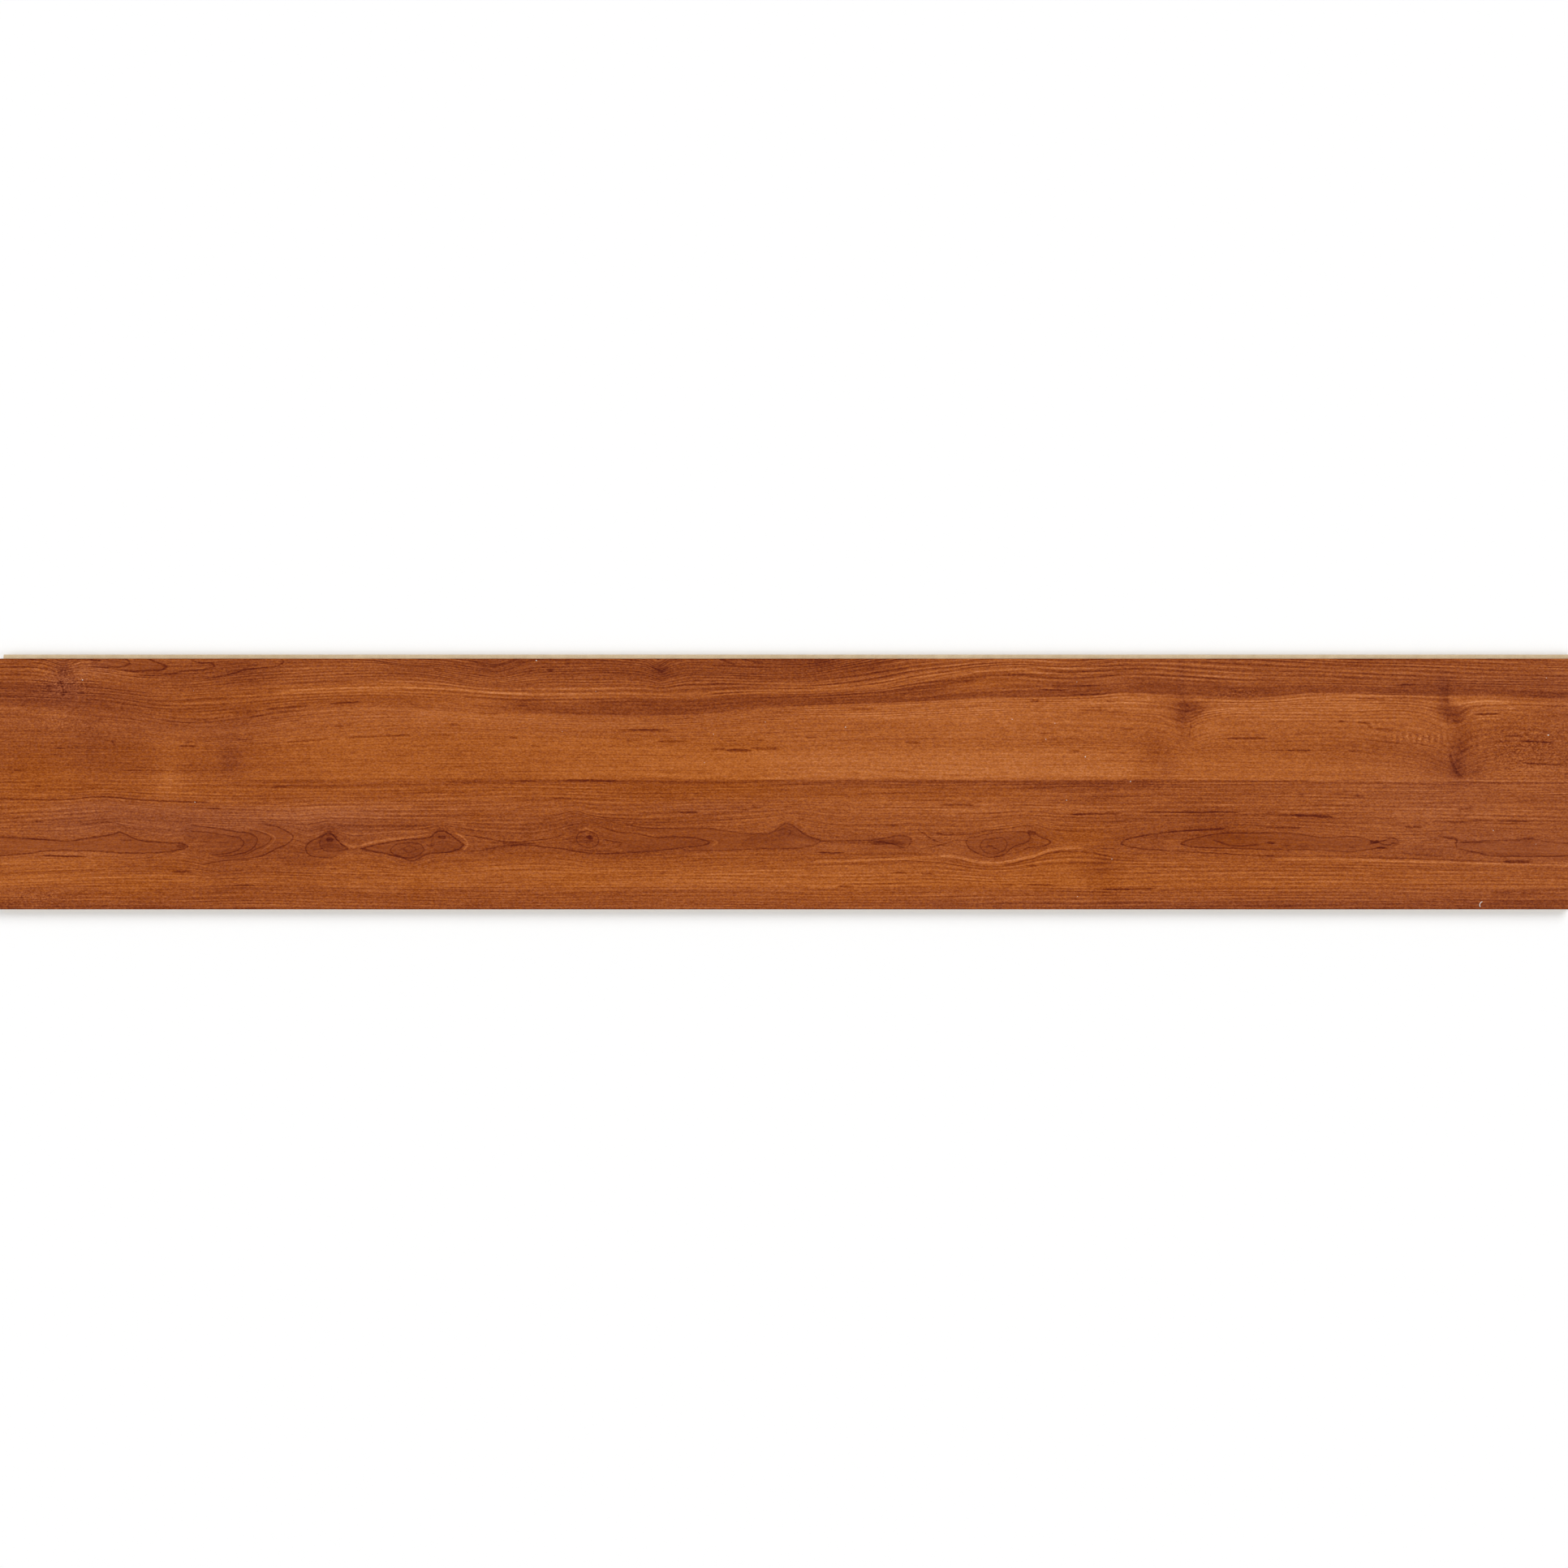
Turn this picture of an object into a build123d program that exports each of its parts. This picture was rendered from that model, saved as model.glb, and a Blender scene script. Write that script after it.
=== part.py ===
from build123d import *
import os

# Laminate floor plank, lying flat with its printed face up.
# Frame, in millimetres: the origin is on the underside, below the middle of the face. +X runs along the plank,
# +Y across it towards the side with the long tongue, +Z up to the face.
# The plank is one board. Each pair of sides is milled in one pass, so the solid is what two sections share: the
# section across the plank, drawn in Y and Z, and the section along it, drawn in X and Z.

# Face and thickness.
face_length = 1215.0
face_width = 194.0
thickness = 8.0
edge_radius = 0.35

# Tongue, on one long side and one end. Its nose is round and a bead stands down below it.
tongue_reach = 3.2
tongue_thickness = 2.4
tongue_top_cover = 2.2
tongue_nose_radius = 0.8
bead_drop = 0.4
bead_start = 0.8
shoulder_set_back = 0.25

# Groove, on the other long side and the other end. It takes the tongue of the next plank.
fit_clearance = 0.1
tip_clearance = 0.4
lead_in = 0.3
groove_root_radius = 0.3

# Heights of the tongue and of the groove that takes it, from the underside.
tongue_top = thickness - tongue_top_cover
tongue_bottom = tongue_top - tongue_thickness
bead_bottom = tongue_bottom - bead_drop
groove_top = tongue_top + fit_clearance
groove_bottom = tongue_bottom - fit_clearance
recess_bottom = bead_bottom - fit_clearance
groove_depth = tongue_reach + tip_clearance

# The bead slopes down from its start, measured from the edge of the face, and ends where the nose is round.
bead_full = bead_start + bead_drop
bead_end = tongue_reach - tongue_nose_radius


def tongue_side(edge):
    """Outline of the tongued side, from the face down to the underside. The face's edge is at `edge`."""
    nose_top = (edge + tongue_reach - tongue_nose_radius, tongue_top)
    nose_tip = (edge + tongue_reach, tongue_top - tongue_nose_radius)
    bead_front = (edge + tongue_reach, bead_bottom + tongue_nose_radius)
    bead_tip = (edge + bead_end, bead_bottom)
    return [
        RadiusArc((edge - edge_radius, thickness), (edge, thickness - edge_radius), edge_radius),
        Polyline((edge, thickness - edge_radius), (edge, tongue_top), nose_top),
        RadiusArc(nose_top, nose_tip, tongue_nose_radius),
        Line(nose_tip, bead_front),
        RadiusArc(bead_front, bead_tip, tongue_nose_radius),
        Polyline(
            bead_tip,
            (edge + bead_full, bead_bottom),
            (edge + bead_start, tongue_bottom),
            (edge - shoulder_set_back, tongue_bottom),
            (edge - shoulder_set_back, 0),
        ),
    ]


def groove_side(edge):
    """Outline of the grooved side, from the underside up to the face. The face's edge is at `edge`."""
    root = edge + groove_depth
    low_root = (root - groove_root_radius, recess_bottom)
    high_root = (root - groove_root_radius, groove_top)
    return [
        Polyline(
            (edge + shoulder_set_back, 0),
            (edge + shoulder_set_back, groove_bottom - lead_in),
            (edge + shoulder_set_back + lead_in, groove_bottom),
            (edge + bead_start - fit_clearance, groove_bottom),
            (edge + bead_full - fit_clearance, recess_bottom),
            low_root,
        ),
        RadiusArc(low_root, (root, recess_bottom + groove_root_radius), -groove_root_radius),
        Line((root, recess_bottom + groove_root_radius), (root, groove_top - groove_root_radius)),
        RadiusArc((root, groove_top - groove_root_radius), high_root, -groove_root_radius),
        Polyline(
            high_root,
            (edge + lead_in, groove_top),
            (edge, groove_top + lead_in),
            (edge, thickness - edge_radius),
        ),
        RadiusArc((edge, thickness - edge_radius), (edge + edge_radius, thickness), edge_radius),
    ]


def milled_section(size):
    """Section of a board whose face is `size` wide: groove on the low side, tongue on the high side."""
    low_edge = -size / 2
    high_edge = size / 2
    face = Line((low_edge + edge_radius, thickness), (high_edge - edge_radius, thickness))
    underside = Line((high_edge - shoulder_set_back, 0), (low_edge + shoulder_set_back, 0))
    outline = Curve() + [face, *tongue_side(high_edge), underside, *groove_side(low_edge)]
    return make_face(outline)


def milled_board(size, plane, run):
    """The section swept straight along its plane's normal, `run` to each side of the origin."""
    return extrude(plane * milled_section(size), amount=run, both=True)


def corner_relief():
    """Blocks that cut each tongue back to the root of the groove that it meets at a corner."""
    overrun = 2 * tongue_reach
    notch = groove_depth + overrun
    low_corner = (Align.MIN, Align.MIN, Align.MIN)
    long_tongue = Pos(-face_length / 2 - overrun, face_width / 2, 0) * Box(
        notch, overrun, thickness, align=low_corner
    )
    end_tongue = Pos(face_length / 2, -face_width / 2 - overrun, 0) * Box(
        overrun, notch, thickness, align=low_corner
    )
    return long_tongue + end_tongue


def plank():
    # Each board runs past the other one's tongue, so that only the milled sides are left.
    long_run = face_length / 2 + 2 * tongue_reach
    cross_run = face_width / 2 + 2 * tongue_reach
    across = milled_board(face_width, Plane.YZ, long_run)
    along = milled_board(face_length, Plane.XZ, cross_run)
    # Without the relief, the lip of a groove would keep a loose sliver of the tongue that runs over it.
    return (across & along) - corner_relief()


os.makedirs("parts", exist_ok=True)
export_step(plank(), "parts/plank.step")
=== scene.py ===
from collections import namedtuple
from math import pi, radians

import bmesh
import bpy
import numpy as np
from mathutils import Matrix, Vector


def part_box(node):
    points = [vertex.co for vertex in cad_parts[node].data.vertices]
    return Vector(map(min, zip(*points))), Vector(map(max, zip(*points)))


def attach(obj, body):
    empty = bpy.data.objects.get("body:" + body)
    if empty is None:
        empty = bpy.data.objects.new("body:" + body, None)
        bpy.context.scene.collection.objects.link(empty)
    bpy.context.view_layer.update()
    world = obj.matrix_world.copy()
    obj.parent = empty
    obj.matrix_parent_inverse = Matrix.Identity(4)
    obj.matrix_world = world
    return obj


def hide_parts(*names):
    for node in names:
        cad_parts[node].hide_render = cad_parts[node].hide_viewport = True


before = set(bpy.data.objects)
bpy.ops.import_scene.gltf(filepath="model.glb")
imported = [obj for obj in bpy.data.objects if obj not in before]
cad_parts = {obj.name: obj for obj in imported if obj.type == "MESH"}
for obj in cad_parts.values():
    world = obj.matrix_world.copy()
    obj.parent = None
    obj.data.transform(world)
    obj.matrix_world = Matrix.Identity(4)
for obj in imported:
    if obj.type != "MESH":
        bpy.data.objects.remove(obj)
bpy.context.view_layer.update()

bl_info = {
    "name": "Laminate floor plank",
    "version": (1, 0, 0),
    "blender": (4, 5, 0),
    "location": "3D View > Sidebar > Plank",
    "description": "Printed and pressed face, milled sides and backing of a laminate floor plank",
    "category": "Object",
}

MM = 0.001
PLANK_LOW, PLANK_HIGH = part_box("plank")
FACE_HEIGHT = PLANK_HIGH.z

# Places on the face are in millimetres: x from its left end, y up from its middle line.
FACE_LENGTH = 1215.0
JOINT = 3.4

# The grain of each strip, as a few grain lines: the height that a line has where it runs
# straight, and then its points. Lines between them follow them in proportion.
UPPER_GRAIN = (
    (3.4, ((0, 3.4), (1215, 3.4))),
    (8, ((0, 8), (1040, 8), (1090, 7), (1125, 4.8), (1160, 8), (1215, 8))),
    (20, ((0, 20), (1000, 20), (1060, 19), (1095, 16), (1118, 9.5), (1128, 7.5), (1145, 15), (1170, 19),
        (1215, 20))),
    (33, ((0, 33), (60, 32.5), (130, 30.5), (180, 30), (215, 32.5), (270, 36), (320, 38), (420, 37.5),
        (486, 36), (640, 37), (760, 39), (860, 37), (905, 33.5), (918, 30.5), (932, 34), (980, 36),
        (1050, 35.5), (1085, 31.5), (1110, 27), (1122, 21), (1140, 29), (1175, 32.5), (1215, 31))),
    (45, ((0, 46), (50, 45), (100, 42.5), (130, 40), (150, 39), (185, 41), (215, 44), (243, 47),
        (270, 49), (310, 50.5), (350, 50), (380, 48.5), (410, 46.5), (450, 45.5), (530, 45), (560, 46.5),
        (600, 49), (640, 50), (700, 51.5), (760, 54), (790, 55), (830, 55), (870, 53.5), (905, 50),
        (918, 46), (930, 51), (945, 54.5), (974, 55.5), (1050, 56), (1100, 54), (1125, 46.5), (1140, 52),
        (1165, 53.5), (1215, 53))),
    (56, ((0, 60), (50, 58), (100, 55), (130, 50), (150, 48), (180, 50), (215, 55), (240, 57.5),
        (270, 59), (310, 59.5), (350, 58), (400, 54), (430, 53), (530, 52.8), (550, 54), (570, 56.5),
        (600, 59), (630, 60.5), (690, 62), (710, 63), (731, 64), (760, 66), (780, 66.5), (815, 67.5),
        (850, 68.7), (868, 70.3), (900, 68.5), (930, 67), (960, 66), (990, 67.5), (1010, 69.5),
        (1030, 70), (1080, 69), (1150, 68.5), (1180, 67.5), (1215, 66))),
    (70, ((0, 74), (40, 72.5), (75, 71), (90, 70), (105, 68), (120, 66.5), (135, 66.7), (150, 68),
        (180, 70), (210, 71.5), (243, 72.7), (260, 73.5), (300, 75.2), (330, 74), (345, 73), (360, 71.5),
        (380, 70), (450, 69), (490, 69), (520, 68), (545, 67.5), (560, 69), (580, 70), (620, 71),
        (650, 72.5), (670, 74), (690, 76.5), (700, 78.5), (731, 83), (760, 86.5), (790, 88.2), (825, 87),
        (850, 88.5), (875, 90), (900, 89.5), (930, 87.5), (974, 84.5), (1050, 81.5), (1100, 80),
        (1215, 77.5))),
    (85, ((0, 90.5), (30, 90), (42, 87.5), (50, 85), (60, 86.2), (80, 84.5), (100, 81.5), (130, 79.5),
        (150, 79.5), (170, 81.5), (190, 84), (215, 86), (243, 87), (290, 88), (330, 86.5), (350, 83.5),
        (370, 80.5), (385, 79), (400, 80.5), (420, 82.5), (450, 83), (490, 83), (500, 82), (511, 79.5),
        (522, 81.5), (532, 84), (550, 84.5), (600, 83.5), (635, 85), (650, 87.5), (665, 90), (680, 93),
        (700, 97), (731, 101), (780, 104), (830, 101), (870, 104), (900, 103), (974, 100), (1050, 96),
        (1100, 94.5), (1150, 93), (1215, 91))),
    (97, ((0, 99), (35, 97.5), (50, 93), (65, 97), (110, 93), (150, 92), (190, 94.5), (250, 97),
        (290, 96.5), (310, 94), (340, 91.8), (360, 89), (375, 87), (385, 86), (395, 88), (405, 91),
        (415, 92.5), (430, 92.5), (486, 91.5), (500, 90), (511, 86.5), (520, 90), (530, 92.5),
        (550, 92.8), (590, 91.5), (620, 91), (635, 92.5), (650, 96), (670, 101), (700, 108), (760, 115),
        (1215, 105))),
)
LOWER_GRAIN = (
    (-97, ((0, -97), (1215, -97))),
    (-80, ((0, -81), (60, -79), (150, -79.5), (180, -79), (243, -80), (850, -80.5), (1215, -80))),
    (-68, ((0, -68), (60, -66.5), (150, -67), (165, -68.5), (200, -66), (250, -67), (320, -69),
        (400, -65), (486, -67), (600, -65.5), (731, -66), (770, -69), (820, -66.5), (900, -67),
        (1215, -68))),
    (-57, ((0, -58), (20, -57.5), (60, -56), (95, -57), (146, -54.5), (170, -60.5), (200, -58),
        (240, -57.5), (258, -55.5), (280, -54), (300, -57), (320, -62), (335, -57), (352, -55.5),
        (375, -54), (410, -51.5), (440, -53.5), (457, -57), (475, -56), (500, -56), (550, -54),
        (640, -53), (731, -55), (757, -60.5), (770, -61), (785, -59), (812, -52), (835, -50.5),
        (868, -53.5), (920, -54), (974, -56.5), (1050, -55.5), (1090, -57), (1150, -60), (1215, -61))),
    (-46, ((0, -47), (60, -48), (93, -45.5), (146, -48), (200, -46), (228, -45), (240, -48), (258, -45),
        (272, -49.5), (281, -49.8), (320, -51), (345, -44), (360, -47), (410, -46.3), (457, -43),
        (483, -46.5), (550, -46), (590, -44), (612, -40), (636, -44.5), (700, -45), (731, -46),
        (765, -47.5), (799, -41), (813, -45.5), (868, -45.5), (950, -46), (1066, -46.5), (1128, -47.5),
        (1215, -50))),
    (-36, ((0, -38), (40, -39), (60, -38.5), (93, -34), (110, -37), (140, -38.5), (150, -35), (180, -35),
        (200, -32), (228, -35), (240, -38), (250, -35), (258, -33.5), (265, -36), (280, -37.5),
        (310, -37), (330, -36.5), (340, -33.5), (352, -35), (365, -38.5), (390, -41), (410, -41.5),
        (430, -38), (445, -34), (457, -32.5), (468, -33), (480, -36), (550, -36), (575, -36), (600, -32),
        (612, -28.5), (622, -34), (640, -36.5), (722, -37), (745, -37), (765, -35), (785, -33),
        (798, -31), (812, -36), (830, -38), (860, -38), (890, -34), (950, -32), (1000, -35), (1030, -38),
        (1100, -40), (1130, -38), (1215, -39))),
    (-25, ((0, -27), (60, -25), (90, -23.5), (150, -26), (200, -28), (230, -29), (255, -27),
        (300, -27.5), (350, -27), (400, -26), (430, -25), (446, -21.5), (458, -25), (486, -27.5),
        (550, -27), (600, -24), (620, -22), (640, -25), (700, -26), (770, -27), (790, -25), (820, -26.5),
        (940, -26), (1215, -28))),
    (-12, ((0, -11.5), (60, -11.3), (72, -10.2), (85, -10), (100, -11.2), (120, -12.8), (150, -14),
        (200, -15), (260, -13.5), (350, -12.5), (600, -12), (1215, -11.5))),
    (3.4, ((0, 3.4), (1215, 3.4))),
)

# A band of other shade that follows the grain: its two ends, its two grain levels, how softly it fades along
# and across the grain, and what it adds. Lightness is in 255ths. Purple is olive below 0 and purple above it.
Band = namedtuple("Band", "ends levels soft lightness purple")
BANDS = (
    # The clear wood of the upper strip.
    Band((215, 1240), (3, 56), (60, 1.5), 8, -0.5),
    Band((480, 1000), (3, 27), (90, 4), 8, -0.2),
    Band((560, 1100), (18, 32), (60, 3), -3, 0),
    Band((590, 880), (3, 24), (50, 5), 6, 0.1),
    Band((620, 905), (46, 56), (40, 2), 9, -0.2),
    Band((560, 900), (33, 45), (60, 5), 3, 0),
    Band((930, 1115), (45, 56), (15, 2), 6, -0.1),
    Band((985, 1110), (54, 56.5), (12, 1), 8, 0),
    Band((0, 200), (6, 55), (30, 6), -6, 0.1),
    Band((-40, 460), (43, 48), (60, 2), 5, 0.2),
    Band((-40, 1260), (46, 57), (60, 3), 0, 0.3),
    Band((55, 600), (-5, 33), (20, 4), 0, -0.6),
    # The dark band above it.
    Band((-40, 120), (57, 76), (25, 3), -13, 0.5),
    Band((120, 365), (57, 74), (60, 3), -1, -0.5),
    Band((392, 780), (57, 68), (30, 1.2), -17, 0.1),
    Band((770, 1240), (56, 63), (30, 1.2), -14, 0.4),
    Band((770, 960), (62, 66), (20, 1.5), -3, 0.2),
    # The lined wood along the top edge.
    Band((200, 480), (66, 74), (60, 2), 7, -0.2),
    Band((480, 820), (68.5, 74), (60, 1), 7, -0.3),
    Band((280, 660), (80, 125), (25, 4), -9, 0.2),
    Band((410, 720), (84, 125), (25, 4), -6, 0),
    Band((700, 830), (75, 90), (25, 4), 5, -0.1),
    Band((830, 1240), (64, 95), (60, 3), -4, 0.2),
    Band((60, 230), (84, 100), (25, 3), -4, 0.2),
    # Both sides of the joint.
    Band((190, 1080), (-2.5, 3.2), (60, 1.0), -5, 0.1),
    Band((330, 780), (1.0, 3.2), (60, 0.7), -5, 0.1),
    Band((780, 900), (-5, 3), (25, 2), -9, 0.3),
    Band((-40, 330), (3.5, 8), (60, 1.5), 3, 0),
    # The row of pointed figures along the middle of the lower strip.
    Band((30, 1240), (-55, -37), (40, 3), -3, 0.2),
    Band((190, 640), (-56, -40), (50, 4), -4, 0.1),
    Band((300, 1240), (-67, -58), (40, 2), -4, 0),
    Band((-40, 900), (-23, -14), (40, 3), 2, 0),
    Band((30, 300), (-38, -16), (30, 5), -1, 1.3),
    Band((300, 500), (-36, -16), (40, 5), -1, 0.3),
    Band((380, 560), (-36, -24), (30, 3), -5, 0.3),
    Band((850, 1060), (-38, -22), (40, 4), -6, 0.1),
    # The clear wood below them.
    Band((-40, 1240), (-79, -58), (60, 2), 5, -0.5),
    Band((270, 900), (-79, -64), (90, 3), 4, -0.2),
    Band((-40, 90), (-80, -56), (30, 3), 5, -0.2),
    Band((90, 250), (-72, -56), (30, 3), -7, 0.3),
    Band((-40, 1240), (-99, -82), (60, 2), -3, 0.4),
    Band((-40, 1240), (-99, -89.5), (60, 1), -2, 0.3),
    Band((620, 1020), (-90, -74), (40, 4), 0, -0.5),
    Band((-40, 700), (-95, -82), (40, 3), 0, -0.6),
    Band((-20, 800), (-12, -2), (20, 3), 0, -0.5),
    Band((1121.5, 1240), (51, 56.5), (0.8, 1.5), 8, -0.1),
    Band((-40, 130), (-99, -91), (40, 1.5), -7, 0.2),
    Band((860, 1240), (-99, -91), (40, 1.5), -9, 0.2),
)

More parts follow.
